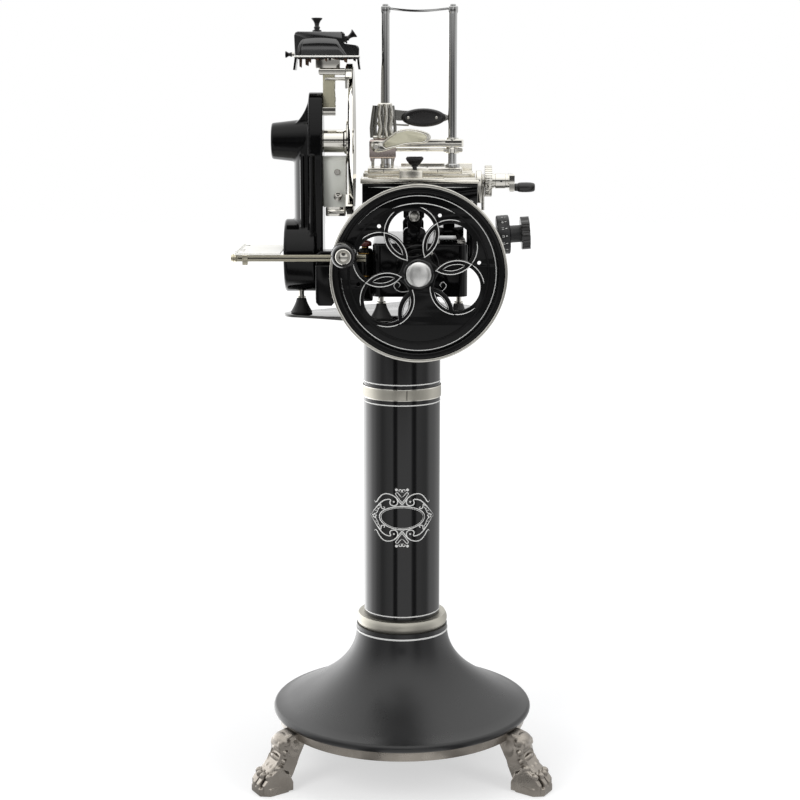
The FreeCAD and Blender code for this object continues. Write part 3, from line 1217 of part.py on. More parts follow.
def pawl_lever():
    """Release lever of the feed's pawl, hung on the screw behind the disc."""
    left, right = (PAWL_LEFT, SCREW_Y, SCREW_Z), (PAWL_LEFT + PAWL_THICKNESS, SCREW_Y, SCREW_Z)
    low = SCREW_Z - PAWL_REACH
    tail = block(left[0], right[0], SCREW_Y - PAWL_HALF, SCREW_Y + PAWL_HALF, low, SCREW_Z - SCREW_RADIUS)
    return joined(rod(2 * SCREW_RADIUS, left, right), tail).cut(rod(SCREW_RADIUS + FIT, left, right))


# ---------------------------------------------------------------- clamp
def clamp_rods():
    """Two upright rods on the meat table, their feet, caps and the bowed strap between their tops."""
    pieces = []
    ring = ROD_TOP - CAP_RING
    for x, foot in ((ROD_LEFT_X, ROD_FOOT_SMALL), (ROD_RIGHT_X, ROD_FOOT_RADIUS)):
        pieces.append(rod(ROD_RADIUS, (x, ROD_Y, TABLE_TOP), (x, ROD_Y, ring)))
        pieces.append(rod(foot, (x, ROD_Y, TABLE_TOP), (x, ROD_Y, TABLE_TOP + ROD_FOOT)))
        pieces.append(rod(ROD_RADIUS + 1.5, (x, ROD_Y, ring), (x, ROD_Y, ROD_TOP)))
        pieces.append(rod(ROD_RADIUS - 2.0, (x, ROD_Y, ROD_TOP), (x, ROD_Y, ROD_TOP + CAP_HEIGHT)))
    middle = (ROD_LEFT_X + ROD_RIGHT_X) / 2
    high = ROD_TOP - TIE_DROP + TIE_HEIGHT / 2
    low = high - TIE_HEIGHT
    pieces.append(slab(
        "XZ", ROD_Y - TIE_DEPTH / 2, ROD_Y + TIE_DEPTH / 2, (ROD_LEFT_X, low),
        ((middle, low - TIE_SAG), (ROD_RIGHT_X, low)), (ROD_RIGHT_X, high),
        ((middle, high - TIE_SAG), (ROD_LEFT_X, high)),
    ))
    return joined(*pieces)


def clamp_crossbar():
    """Crossbar of the meat clamp with its sleeve, and the block whose blunt spikes press the meat."""
    top, half = CROSSBAR_TOP, CROSSBAR_DEPTH / 2
    bar = block(ROD_LEFT_X, ROD_RIGHT_X + CROSSBAR_END, ROD_Y - half, ROD_Y + half, CROSSBAR_Z, top, 3.0)
    sleeve_r = ROD_RADIUS + SLEEVE_WALL
    sleeve = rod(sleeve_r, (ROD_RIGHT_X, ROD_Y, CROSSBAR_Z - 3.0), (ROD_RIGHT_X, ROD_Y, top + 3.0))
    depth = BLOCK_DEPTH / 2
    press = block(BLOCK_LEFT, BLOCK_LEFT + BLOCK_WIDTH, ROD_Y - depth, ROD_Y + depth, BLOCK_BOTTOM, top, 5.0)
    spikes = []
    for side in (-1, 1):
        y = ROD_Y + side * (depth - SPIKE_INSET)
        for i in range(SPIKE_COUNT):
            x = BLOCK_LEFT + 2 * SPIKE_INSET + (BLOCK_WIDTH - 4 * SPIKE_INSET) * i / (SPIKE_COUNT - 1)
            spikes.append(rod(SPIKE_RADIUS, (x, y, TABLE_TOP + GAP), (x, y, BLOCK_BOTTOM + 1.0)))
    body = joined(bar, sleeve, press, *spikes)
    for x in (ROD_LEFT_X, ROD_RIGHT_X):
        body = body.cut(rod(ROD_RADIUS + FIT, (x, ROD_Y, BLOCK_BOTTOM - 1.0), (x, ROD_Y, top + 4.0)))
    return body


def clamp_pillar():
    """Sculpted chromed pillar around the left rod, with the tang of the upper grip."""
    base, top, x = CROSSBAR_TOP, PILLAR_TOP, ROD_LEFT_X
    half = BLOCK_DEPTH / 2 - 3.0
    pillar = slab(
        "XZ", ROD_Y - half, ROD_Y + half, (x - 24.0, base), (x + 20.0, base),
        ((x + 13.0, base + 18.0), (x + 14.0, base + 40.0)), (x + 12.0, top - 4.0), (x + 8.0, top),
        (x - 13.0, top), (x - 20.0, top - 7.0), ((x - 15.0, base + 36.0), (x - 22.0, base + 16.0)),
    )
    slim, z = ARM_PLATE / 2, GRIP_Z
    end = GRIP_X + GRIP_HALF_LENGTH + 4.0
    tang = slab(
        "XZ", ROD_Y - slim, ROD_Y + slim, (x + 10.0, z - 6.0),
        ((x + 30.0, z - 14.0), (GRIP_X - 14.0, z - 9.0)), (end, z - 6.0), (end, z + 4.0),
        (GRIP_X - 16.0, z + 12.0), ((x + 30.0, z + 16.0), (x + 10.0, z + 20.0)),
    )
    return joined(pillar, tang).cut(rod(ROD_RADIUS + FIT, (x, ROD_Y, base), (x, ROD_Y, top)))


def clamp_grip():
    """Black oval scales of the upper grip, one on each side of the arm."""
    scales = []
    oval = Part.Ellipse(Vector(0, 0, 0), GRIP_HALF_LENGTH - 3.0, GRIP_HALF_HEIGHT).toShape()
    for side in (-1, 1):
        scale = Part.Face(Part.Wire([oval])).extrude(Vector(0, 0, (GRIP_THICKNESS - ARM_PLATE) / 2))
        scale.rotate(Vector(0, 0, 0), Vector(1, 0, 0), -90 * side)
        scale.translate(Vector(GRIP_X, ROD_Y + side * ARM_PLATE / 2, GRIP_Z - 1.0))
        scales.append(scale)
    return Part.makeCompound(scales)


def squeeze_lever():
    """Polished lever in front of the pillar that is squeezed towards the grip to free the clamp."""
    y1 = ROD_Y - BLOCK_DEPTH / 2 - GAP
    px, pz = LEVER_PIVOT
    body = slab(
        "XZ", y1 - LEVER_THICKNESS, y1, (px - 10.0, pz + 4.0), ((px - 6.0, pz - 8.0), (px + 6.0, pz - 9.0)),
        ((px + 46.0, pz + 3.0), (px + 84.0, pz + 6.0)), ((px + 97.0, pz + 18.0), (px + 84.0, pz + 28.0)),
        ((px + 44.0, pz + 30.0), (px + 12.0, pz + 10.0)), ((px, pz + 12.0), (px - 10.0, pz + 4.0)),
    )
    return body.cut(rod(LEVER_PIN + FIT, (px, y1 - LEVER_THICKNESS, pz), (px, y1, pz)))


def lever_pin():
    """Pivot pin of the squeeze lever, screwed into the clamp's block."""
    y1 = ROD_Y - BLOCK_DEPTH / 2
    px, pz = LEVER_PIVOT
    head_y = y1 - 2 * GAP - LEVER_THICKNESS
    return joined(
        rod(LEVER_PIN, (px, y1, pz), (px, head_y, pz)),
        rod(LEVER_PIN + 2.5, (px, head_y, pz), (px, head_y - 3.0, pz)),
    )


def thumb_knob():
    """Black wing knob that locks the nut of the feed screw."""
    x, y, low, high, reach = THUMB_X, THUMB_Y, THUMB_Z + 8.0, THUMB_Z + 23.0, 15.0
    wing = slab(
        "XZ", y - 4.0, y + 4.0, (x - 8.0, low), (x + 8.0, low), (x + reach, high - 5.0),
        ((x + reach, high - 1.0), (x + reach - 4.0, high)), (x + 4.0 - reach, high),
        ((x - reach, high - 1.0), (x - reach, high - 5.0)),
    )
    return joined(wing, rod(4.0, (x, y, THUMB_Z + GAP), (x, y, low)))


# ---------------------------------------------------------------- everything is written out
NODES = (
    paw_base,
    bell_base,
    lower_collar,
    column,
    upper_band,
    machine_plate,
    machine_feet,
    foot_stems,
    base_casting,
    base_ways,
    guide_posts,
    guide_bar,
    wheel_bearing,
    lubricator,
    bridge,
    blade_frame,
    guard_ring,
    guard_bracket_lower,
    guard_bracket_upper,
    knife,
    knife_shaft,
    sharpener_cover,
    sharpener_block,
    sharpener_knob,
    left_stone,
    right_plunger,
    flywheel,
    flywheel_rim,
    flywheel_shaft,
    handle_spindle,
    handle_grip,
    cross_shaft,
    tray_plate,
    tray_rail,
    tray_clamp,
    thickness_dial,
    dial_knob,
    dial_bracket,
    carriage_frame,
    carriage_deck,
    bar_sleeve,
    guide_shoe,
    feed_bracket,
    table_ways,
    meat_table,
    feed_screw,
    ratchet_disc,
    crank_grip,
    pawl_lever,
    clamp_rods,
    clamp_crossbar,
    clamp_pillar,
    clamp_grip,
    squeeze_lever,
    lever_pin,
    thumb_knob,
)


def main():
    os.makedirs("parts", exist_ok=True)
    for build in NODES:
        build().exportStep(os.path.join("parts", build.__name__ + ".step"))


main()
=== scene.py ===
import json
import logging
import math
from dataclasses import dataclass
from enum import Enum

import bmesh
import bpy
from mathutils import Matrix, Vector


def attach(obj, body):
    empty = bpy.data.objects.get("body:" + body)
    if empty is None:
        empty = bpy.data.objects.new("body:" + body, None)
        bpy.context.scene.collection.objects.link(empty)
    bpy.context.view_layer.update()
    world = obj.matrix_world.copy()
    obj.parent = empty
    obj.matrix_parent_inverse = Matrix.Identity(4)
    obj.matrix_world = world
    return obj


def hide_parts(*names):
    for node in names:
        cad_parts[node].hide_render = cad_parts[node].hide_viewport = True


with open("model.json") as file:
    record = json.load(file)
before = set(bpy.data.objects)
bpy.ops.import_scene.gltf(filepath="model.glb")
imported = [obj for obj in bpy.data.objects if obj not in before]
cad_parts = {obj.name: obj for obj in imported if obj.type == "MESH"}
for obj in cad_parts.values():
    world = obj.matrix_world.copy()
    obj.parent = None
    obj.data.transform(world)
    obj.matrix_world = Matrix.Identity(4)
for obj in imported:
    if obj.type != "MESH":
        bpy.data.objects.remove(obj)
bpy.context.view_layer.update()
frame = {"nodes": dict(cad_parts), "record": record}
LOG = logging.getLogger("slicer")
MM = 0.001

Point = tuple[float, float, float]
Pair = tuple[float, float]

# Directions in the machine's frame.
RIGHT: Point = (1, 0, 0)
LEFT: Point = (-1, 0, 0)
FRONT: Point = (0, -1, 0)
BACK: Point = (0, 1, 0)
UP: Point = (0, 0, 1)

# The body that stands still.
STAND = "stand_and_frame"

# Edges that turn by fewer degrees than this are part of a curve.
CURVE_TURN = 32.0
# A radius below this, in millimetres, lies on the axis.
ON_AXIS = 1e-6
# Vertices closer than this, in millimetres, are one: in a copied node, and in a filled curve.
NODE_WELD = 0.002
CURVE_WELD = 0.003
# Faces that turn by fewer degrees than this make one flat face.
FLAT_TURN = 0.4
# Where the sharpener's guide pin stands, along X.
GUIDE_X = -129.0


# ---------------------------------------------------------------- colour and nodes
def linear(code: str) -> tuple[float, float, float, float]:
    """Turns an sRGB hex colour into linear light.

    Args:
        code: six hex digits, such as "0b0b0d".

    Returns:
        Red, green, blue and an alpha of 1.
    """
    parts = [int(code[i:i + 2], 16) / 255 for i in (0, 2, 4)]
    low = [part / 12.92 if part <= 0.04045 else ((part + 0.055) / 1.055) ** 2.4 for part in parts]
    return low[0], low[1], low[2], 1.0


def add(tree: bpy.types.NodeTree, kind: str, settings: dict | None = None,
        links: dict | None = None) -> bpy.types.Node:
    """Adds one node with its settings and links.

    Args:
        tree: the node tree.
        kind: the node's type name.
        settings: values by input name, input number or attribute name.
        links: (node, output) by input name or number.

    Returns:
        The new node.
    """
    node = tree.nodes.new(kind)
    for key, value in (settings or {}).items():
        if isinstance(key, int) or key in node.inputs:
            node.inputs[key].default_value = value
        else:
            setattr(node, key, value)
    for key, (source, output) in (links or {}).items():
        tree.links.new(source.outputs[output], node.inputs[key])
    return node


class Marks(Enum):
    """How a surface's small marks run."""

    EVEN = (1.0, 1.0, 1.0)
    ALONG_X = (0.02, 1.0, 1.0)
    ALONG_Z = (1.0, 1.0, 0.02)
    AROUND_Z = (0.05, 0.05, 1.0)


@dataclass(frozen=True)
class Finish:
    """A surface: what it is made of, and how it was made.

    The marks are noise of one real size. They lift the surface a little, make it rougher here and
    smoother there, and shift its colour by a few percent.
    """

    name: str
    colour: str
    second: str
    roughness: float
    marks_mm: float
    relief_mm: float
    wander: float = 0.03
    metallic: float = 0.0
    coat: float = 0.0
    specular: float = 0.5
    marks: Marks = Marks.EVEN
    patch_mm: float = 60.0

    def height(self, tree: bpy.types.NodeTree, place: bpy.types.Node) -> tuple[bpy.types.Node, str]:
        """Adds the nodes of the fine relief.

        Args:
            tree: the material's nodes.
            place: the node that gives the place on the piece, in metres.

        Returns:
            The node and the output that hold the height, from 0 to 1.
        """
        scaled = add(tree, "ShaderNodeMapping", {"Scale": self.marks.value}, {"Vector": (place, "Object")})
        noise = add(tree, "ShaderNodeTexNoise", {"Scale": 1000.0 / self.marks_mm, "Detail": 3.0},
                    {"Vector": (scaled, "Vector")})
        return noise, "Fac"

    def material(self) -> bpy.types.Material:
        """Builds the material once and keeps it under its name.

        Returns:
            The material.
        """
        made = bpy.data.materials.get(self.name)
        if made:
            return made
        made = bpy.data.materials.new(self.name)
        made.use_nodes = True
        tree = made.node_tree
        tree.nodes.clear()
        place = add(tree, "ShaderNodeTexCoord")
        height = self.height(tree, place)
        patches = add(tree, "ShaderNodeTexNoise", {"Scale": 1000.0 / self.patch_mm, "Detail": 4.0},
                      {"Vector": (place, "Object")})
        both = add(tree, "ShaderNodeMix", {"data_type": "FLOAT", 0: 0.35}, {2: (patches, "Fac"), 3: height})
        rough = add(tree, "ShaderNodeMapRange", {
            "From Min": 0.35, "From Max": 0.65, "To Min": max(self.roughness - self.wander, 0.01),
            "To Max": self.roughness + self.wander}, {"Value": (both, 0)})
        tint = add(tree, "ShaderNodeMix", {
            "data_type": "RGBA", 6: linear(self.colour), 7: linear(self.second)}, {0: (both, 0)})
        bump = add(tree, "ShaderNodeBump", {"Strength": 1.0, "Distance": self.relief_mm * MM},
                   {"Height": height})
        shader = add(tree, "ShaderNodeBsdfPrincipled", {
            "Metallic": self.metallic, "Specular IOR Level": self.specular, "Coat Weight": self.coat,
            "Coat Roughness": 0.04},
            {"Base Color": (tint, 2), "Roughness": (rough, "Result"), "Normal": (bump, "Normal")})
        add(tree, "ShaderNodeOutputMaterial", None, {"Surface": (shader, "BSDF")})
        return made


@dataclass(frozen=True)
class GrainyStone(Finish):
    """Bonded abrasive: grit of one size stands out of a matrix."""

    def height(self, tree: bpy.types.NodeTree, place: bpy.types.Node) -> tuple[bpy.types.Node, str]:
        """Adds cells of one grit each, as Finish.height does."""
        cells = add(tree, "ShaderNodeTexVoronoi", {"Scale": 1000.0 / self.marks_mm},
                    {"Vector": (place, "Object")})
        return cells, "Distance"


# Stove enamel: sprayed and baked, so deep black with a mirror-like skin and a faint orange peel.
ENAMEL = Finish("stove_enamel", "060607", "0a0a0b", 0.08, 3.0, 0.008, 0.02)
# The same on the bell: flatted and polished by hand, so a broad soft shine.
ENAMEL_SOFT = Finish("hand_polished_enamel", "121213", "171718", 0.3, 4.0, 0.01, 0.03, specular=0.45)
# The same enamel on castings, a little less flat because it pools over sand-cast iron.
ENAMEL_CAST = Finish("enamel_on_casting", "050506", "090909", 0.1, 5.0, 0.02, 0.03, specular=0.2)
# The sharpener's cover: pressed sheet, enamelled and polished, so it draws soft bright bands.
ENAMEL_COVER = Finish("enamel_on_pressing", "060607", "0a0a0b", 0.12, 4.0, 0.01, 0.03, specular=1.0, coat=1.0)
# Chromed steel: buffed before plating, bright reflections with hairlines that show only as a soft blur.
CHROME = Finish("polished_chrome", "dcdad3", "cfccc4", 0.08, 1.2, 0.002, 0.03, metallic=1.0)
# Chromed rods: drawn, ground and plated, a cool grey with long bright and dark streaks.
ROD = Finish("chromed_rod", "b4b4b3", "a6a6a5", 0.1, 1.0, 0.002, 0.03, metallic=1.0, marks=Marks.ALONG_Z)
# Warm nickel of the clamp's block: buffed casting, duller and a little mauve.
NICKEL = Finish("buffed_nickel_casting", "b5aaa6", "a0948f", 0.2, 1.6, 0.02, 0.06, metallic=1.0)
# Nickel-bright ground steel of rods and screws, with grinding marks round the bar.
GROUND = Finish("ground_steel", "c6c4bf", "b6b3ac", 0.2, 0.9, 0.004, 0.06, metallic=1.0, marks=Marks.AROUND_Z)
# Polished stainless sheet, warm white, a long rolled grain along the sheet.
SHEET = Finish("polished_stainless", "f0ece2", "e6e2d6", 0.16, 1.0, 0.003, 0.05, metallic=1.0,
               marks=Marks.ALONG_X)
# Plain polished steel plate under the machine: darker, with a mirror edge.
PLATE = Finish("polished_steel_plate", "747473", "656564", 0.1, 1.4, 0.003, 0.04, metallic=1.0)
# Forged steel of the clamp: satin, a dull mid grey beside the chrome.
FORGED = Finish("satin_forged_steel", "8d8c89", "777672", 0.3, 1.4, 0.02, 0.08, metallic=0.95)
# Lightly blasted stainless of the slice tray and of the cover's rim: almost white, no sharp reflection.
TRAY = Finish("blasted_stainless", "f4f3ee", "ecebe4", 0.4, 0.8, 0.004, 0.05, metallic=0.35)
# Drawn bright bar of the tray's rail, warm grey with a long grain.
BAR = Finish("drawn_bright_bar", "cfcab8", "beb8a3", 0.2, 0.9, 0.006, 0.06, metallic=1.0, marks=Marks.ALONG_X)
# Lacquered panel of the squeeze lever: cream, flat sprayed and polished.
CREAM = Finish("cream_lacquer", "dedbc6", "d0ccb2", 0.16, 2.0, 0.006, 0.04, metallic=0.35, coat=0.3)
# Hammered beige coat of the guard's post.
BEIGE = Finish("beige_stoved_coat", "a9a58f", "97937d", 0.34, 1.6, 0.05, 0.06)
# Brushed steel bands: grit 180 run round the column, so the light draws out sideways.
BRUSHED = Finish("brushed_steel_band", "bab7ad", "a7a49a", 0.42, 0.8, 0.01, 0.06, metallic=1.0,
                 marks=Marks.AROUND_Z)
# Sand-cast and tumbled nickel of the paws: satin grey, darker in the low grain.
CAST = Finish("tumbled_cast_nickel", "a8a29a", "7f7870", 0.34, 2.2, 0.22, 0.1, metallic=0.9, patch_mm=25.0)
# Satin silver of the hub's dome: fine blasted, nearly white, no sharp reflection.
SATIN = Finish("satin_silver", "dededc", "d3d3d1", 0.32, 0.7, 0.006, 0.04, metallic=1.0)
# Grey satin enamel of the bracket beside the knife.
GREY = Finish("grey_satin_enamel", "d6d7d0", "cccdc5", 0.3, 2.0, 0.02, 0.05, coat=0.2)
# Phenolic resin knobs and grips: moulded, polished, black with a slight brown depth.
RESIN = Finish("moulded_phenolic", "0d0c0c", "151313", 0.2, 1.5, 0.01, 0.05, coat=0.15)
# The same resin where a mould left it matt, as on the dial; also the dark strip of painted shade in the tray
# rail's groove.
MATT_RESIN_AND_SHADE = Finish("matt_phenolic_and_shade", "121213", "1b1b1c", 0.42, 1.2, 0.03, 0.07)
# Rubber of the cone feet: moulded, matt and slightly dusty.
RUBBER = Finish("moulded_rubber", "121212", "1d1c1b", 0.55, 1.4, 0.04, 0.1)
# Silver lining paint, drawn by hand on the enamel: metallic flakes, even and a bit grainy. On the flywheel's
# relief ring it also serves as a painted highlight.
LINING_AND_HIGHLIGHT = Finish("silver_lining_paint_and_highlight", "e2e2e0", "c9c9c6", 0.4, 0.5, 0.01, 0.06, metallic=0.35)
# Brass of the oiler and of small bushes: warm, bright.
BRASS = Finish("turned_brass", "b8904a", "a67e3c", 0.2, 0.8, 0.006, 0.05, metallic=1.0)
# Dark red lacquer on the oiler's lid.
LACQUER = Finish("red_lacquer", "4a1512", "3a0f0d", 0.18, 1.5, 0.01, 0.04, coat=0.4)
# White enamel of the dial's figures.
WHITE = Finish("white_enamel_figure", "e6e6e2", "d8d8d3", 0.4, 0.6, 0.01, 0.05)
# Corundum sharpening stone, brown and open-grained.
STONE = GrainyStone("bonded_corundum", "553e30", "3a2a20", 0.8, 0.5, 0.12, 0.08)


# ---------------------------------------------------------------- meshes
class Plane(Enum):
    """The plane in which an outline is drawn."""

    XY = "XY"
    XZ = "XZ"
    YZ = "YZ"

    def spot(self, a: float, b: float, c: float) -> Point:
        """Puts two coordinates in the plane, and c across it, in the order X, Y, Z."""
        return {Plane.XY: (a, b, c), Plane.XZ: (a, c, b), Plane.YZ: (c, a, b)}[self]


def piece(name: str, body: str, finish: Finish, made: bmesh.types.BMesh, sharp: float = CURVE_TURN,
          replaces: tuple[str, ...] = ()) -> bpy.types.Object:
    """Turns a mesh in millimetres into a piece that rides on a body.

    Args:
        name: the piece's name.
        body: the body it moves with.
        finish: its surface.
        made: the mesh, in millimetres in the machine's frame.
        sharp: edges that turn by more degrees than this stay sharp.
        replaces: the nodes it stands for.

    Returns:
        The new object.
    """
    bmesh.ops.scale(made, vec=(MM, MM, MM), verts=made.verts)
    bmesh.ops.recalc_face_normals(made, faces=made.faces)
    mesh = bpy.data.meshes.new(name)
    made.to_mesh(mesh)
    made.free()
    for face in mesh.polygons:
        face.use_smooth = True
    mesh.set_sharp_from_angle(angle=math.radians(sharp))
    mesh.materials.append(finish.material())
    thing = bpy.data.objects.new(name, mesh)
    bpy.context.scene.collection.objects.link(thing)
    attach(thing, body)
    if replaces:
        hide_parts(*replaces)
    return thing


def turn_to(made: bmesh.types.BMesh, origin: Point, axis: Point) -> bmesh.types.BMesh:
    """Moves a mesh that stands on Z at the origin onto an axis.

    Args:
        made: the mesh.
        origin: where its foot goes.
        axis: the direction that its Z takes.

    Returns:
        The same mesh.
    """
    turn = Vector(UP).rotation_difference(Vector(axis)).to_matrix().to_4x4()
    bmesh.ops.transform(made, matrix=Matrix.Translation(origin) @ turn, verts=made.verts)
    return made


def rounded(points: list[Pair], steps: int = 6) -> list[Pair]:
    """A smooth line through the given points.

    Args:
        points: the points, at least three.
        steps: how many parts each span gets.

    Returns:
        The points of the line, the ends included.
    """
    line = []
    ends = [points[0]] + points + [points[-1]]
    for i in range(1, len(ends) - 2):
        a, b, c, d = ends[i - 1:i + 3]
        for k in range(steps):
            t = k / steps
            line.append(tuple(
                0.5 * (2 * b[n] + (c[n] - a[n]) * t + (2 * a[n] - 5 * b[n] + 4 * c[n] - d[n]) * t * t
                       + (3 * b[n] - a[n] - 3 * c[n] + d[n]) * t ** 3) for n in (0, 1)))
    line.append(points[-1])
    return line


def lathe(profile: list[Pair], origin: Point = (0, 0, 0), axis: Point = UP, segments: int = 96,
          start: float = 0.0, end: float = 360.0) -> bmesh.types.BMesh:
    """Turns a profile about an axis.

    Args:
        profile: (radius, height) points; a closed loop when no end lies on the axis.
        origin: where the axis starts.
        axis: its direction.
        segments: steps round the axis.
        start: first angle in degrees.
        end: last angle; a part turn is closed by flat ends.

    Returns:
        The closed mesh.
    """
    made = bmesh.new()
    whole = end - start >= 360.0
    count = segments if whole else segments + 1
    turns = [math.radians(start + (end - start) * k / segments) for k in range(count)]
    rows = []
    for radius, height in profile:
        if radius < ON_AXIS:
            rows.append([made.verts.new((0, 0, height))] * count)
            continue
        rows.append([made.verts.new((radius * math.cos(a), radius * math.sin(a), height)) for a in turns])
    open_ends = profile[0][0] < ON_AXIS and profile[-1][0] < ON_AXIS
    pairs = list(zip(rows, rows[1:])) + ([] if open_ends else [(rows[-1], rows[0])])
    for low, high in pairs:
        for k in range(segments):
            n = (k + 1) % count
            corners = [low[k], low[n], high[n], high[k]]
            corners = [c for i, c in enumerate(corners) if c not in corners[:i]]
            if len(corners) > 2:
                made.faces.new(corners)
    if not whole:
        made.faces.new([row[0] for row in rows])
        made.faces.new([row[-1] for row in reversed(rows)])
    return turn_to(made, origin, axis)


def lump(place: Point, half: Point) -> bmesh.types.BMesh:
    """A ball stretched to three half sizes.

    Args:
        place: its middle.
        half: half its size along X, Y and Z.

    Returns:
        The closed mesh.
    """
    ball = lathe([(math.sin(math.pi * i / 12), -math.cos(math.pi * i / 12)) for i in range(13)], segments=20)
    bmesh.ops.scale(ball, vec=half, verts=ball.verts)
    bmesh.ops.translate(ball, vec=place, verts=ball.verts)
    return ball


def softened(thing: bpy.types.Object, voxel: float, rounds: int) -> bmesh.types.BMesh:
    """Gives an object one even skin with soft edges, and removes the object.

    Args:
        thing: the object, not yet in the scene.
        voxel: size of the skin's faces, in millimetres.
        rounds: rounds of smoothing.

    Returns:
        The skin, in millimetres.
    """
    bpy.context.scene.collection.objects.link(thing)
    remesh = thing.modifiers.new("remesh", "REMESH")
    remesh.mode = "VOXEL"
    remesh.voxel_size = voxel * MM * 1.0
    soften = thing.modifiers.new("soften", "SMOOTH")
    soften.factor = 0.5
    soften.iterations = rounds
    return evaluated(thing)


def melted(made: bmesh.types.BMesh, voxel: float, rounds: int) -> bmesh.types.BMesh:
    """Melts overlapping closed meshes into one skin.

    Args:
        made: the meshes, in millimetres.
        voxel: size of the skin's faces.
        rounds: rounds of smoothing.

    Returns:
        The skin.
    """
    bmesh.ops.recalc_face_normals(made, faces=made.faces)
    bmesh.ops.scale(made, vec=(MM, MM, MM), verts=made.verts)
    mesh = bpy.data.meshes.new("lumps")
    made.to_mesh(mesh)
    made.free()
    return softened(bpy.data.objects.new("lumps", mesh), voxel, rounds)


def prism(outline: list[Pair], plane: Plane, low: float, high: float, edge: float = 0.0,
          steps: int = 2) -> bmesh.types.BMesh:
    """Draws an outline out across its plane, with rounded rims.

    Args:
        outline: corners in the plane's two axes, in order.
        plane: the plane of the outline.
        low: where it starts along the third axis.
        high: where it ends.
        edge: radius of the rims.
        steps: parts of each rounding.

    Returns:
        The closed mesh.
    """
    made = bmesh.new()
    lower = [made.verts.new(plane.spot(a, b, low)) for a, b in outline]
    upper = [made.verts.new(plane.spot(a, b, high)) for a, b in outline]
    caps = [made.faces.new(lower), made.faces.new(upper)]
    count = len(outline)
    for i in range(count):
        n = (i + 1) % count
        made.faces.new((lower[i], lower[n], upper[n], upper[i]))
    if edge > 0:
        rims = [rim for cap in caps for rim in cap.edges]
        bmesh.ops.bevel(made, geom=rims, offset=edge, segments=steps, profile=0.5, affect="EDGES",
                        clamp_overlap=True)
    return made


def merge(*parts: bmesh.types.BMesh) -> bmesh.types.BMesh:
    """Puts several meshes into the first one.

    Args:
        parts: the meshes; all but the first are freed.

    Returns:
        The first mesh, with all of them in it.
    """
    whole = parts[0]
    for part in parts[1:]:
        spare = bpy.data.meshes.new("spare")
        part.to_mesh(spare)
        part.free()
        whole.from_mesh(spare)
        bpy.data.meshes.remove(spare)
    return whole


def loft(made: bmesh.types.BMesh, rows: list[list[bmesh.types.BMVert]]) -> None:
    """Joins rings of vertices into a skin and closes both of its ends.

    Args:
        made: the mesh that holds the vertices.
        rows: the rings in order, each with as many vertices as the next.
    """
    count = len(rows[0])
    for low, high in zip(rows, rows[1:]):
        for k in range(count):
            n = (k + 1) % count
            made.faces.new((low[k], low[n], high[n], high[k]))
    made.faces.new(rows[0][::-1])
    made.faces.new(rows[-1])


def tube(line: list[Point], radius: float, sides: int = 12) -> bmesh.types.BMesh:
    """Sweeps a round bar along a line.

    Args:
        line: the points of its middle.
        radius: the bar's radius.
        sides: steps round the bar.

    Returns:
        The closed mesh.
    """
    made = bmesh.new()
    points = [Vector(p) for p in line]
    count = len(points)
    rows = []
    side = None
    for i, here in enumerate(points):
        before = points[max(i - 1, 0)]
        after = points[min(i + 1, count - 1)]
        along = (after - before).normalized()
        if side is None:
            side = along.cross(Vector(UP))
            if side.length < 0.1:
                side = along.cross(Vector(BACK))
        side = (side - along * side.dot(along)).normalized()
        other = along.cross(side)
        rows.append([made.verts.new(here + (side * math.cos(2 * math.pi * k / sides)
                                            + other * math.sin(2 * math.pi * k / sides)) * radius)
                     for k in range(sides)])
    loft(made, rows)
    return made


def stripe(line: list[Pair], width: float, y: float, lift: float = 0.25,
           taper: bool = True) -> bmesh.types.BMesh:
    """A painted line on a face that looks along -Y.

    Args:
        line: (x, z) points of its middle.
        width: its width.
        y: the face's place.
        lift: thickness of the paint.
        taper: whether both ends run out to a point.

    Returns:
        The closed mesh.
    """
    made = bmesh.new()
    rows = []
    count = len(line)
    for i, (x, z) in enumerate(line):
        px, pz = line[max(i - 1, 0)]
        nx, nz = line[min(i + 1, count - 1)]
        length = math.hypot(nx - px, nz - pz) or 1.0
        share = min(1.0, min(i, count - 1 - i) / (0.12 * count)) if taper else 1.0
        half = width / 2 * max(share, 0.15)
        ox, oz = -(nz - pz) / length * half, (nx - px) / length * half
        rows.append([made.verts.new((x + ox, y, z + oz)), made.verts.new((x - ox, y, z - oz)),
                     made.verts.new((x - ox * 0.6, y - lift, z - oz * 0.6)),
                     made.verts.new((x + ox * 0.6, y - lift, z + oz * 0.6))])
    loft(made, rows)
    return made


def arc(centre: Pair, radius: float, start: float, end: float, steps: int = 48) -> list[Pair]:
    """Points of an arc.

    Args:
        centre: its middle.
        radius: its radius.
        start: first angle in degrees.
        end: last angle in degrees.
        steps: parts of the arc.

    Returns:
        The points, both ends included.
    """
    return [(centre[0] + radius * math.cos(math.radians(start + (end - start) * i / steps)),
             centre[1] + radius * math.sin(math.radians(start + (end - start) * i / steps)))
            for i in range(steps + 1)]


def home(node: str) -> tuple[str, str]:
    """Looks a plain node up in the record.

    Args:
        node: the node's name.

    Returns:
        The body it moves with and its material slot.
    """
    record = frame["record"]
    body = next(name for name, nodes in record["behaviour"]["bodies"].items() if node in nodes)
    slot = next(part["material_slot"] for part in record["subparts"] if part["node"] == node)
    return body, slot


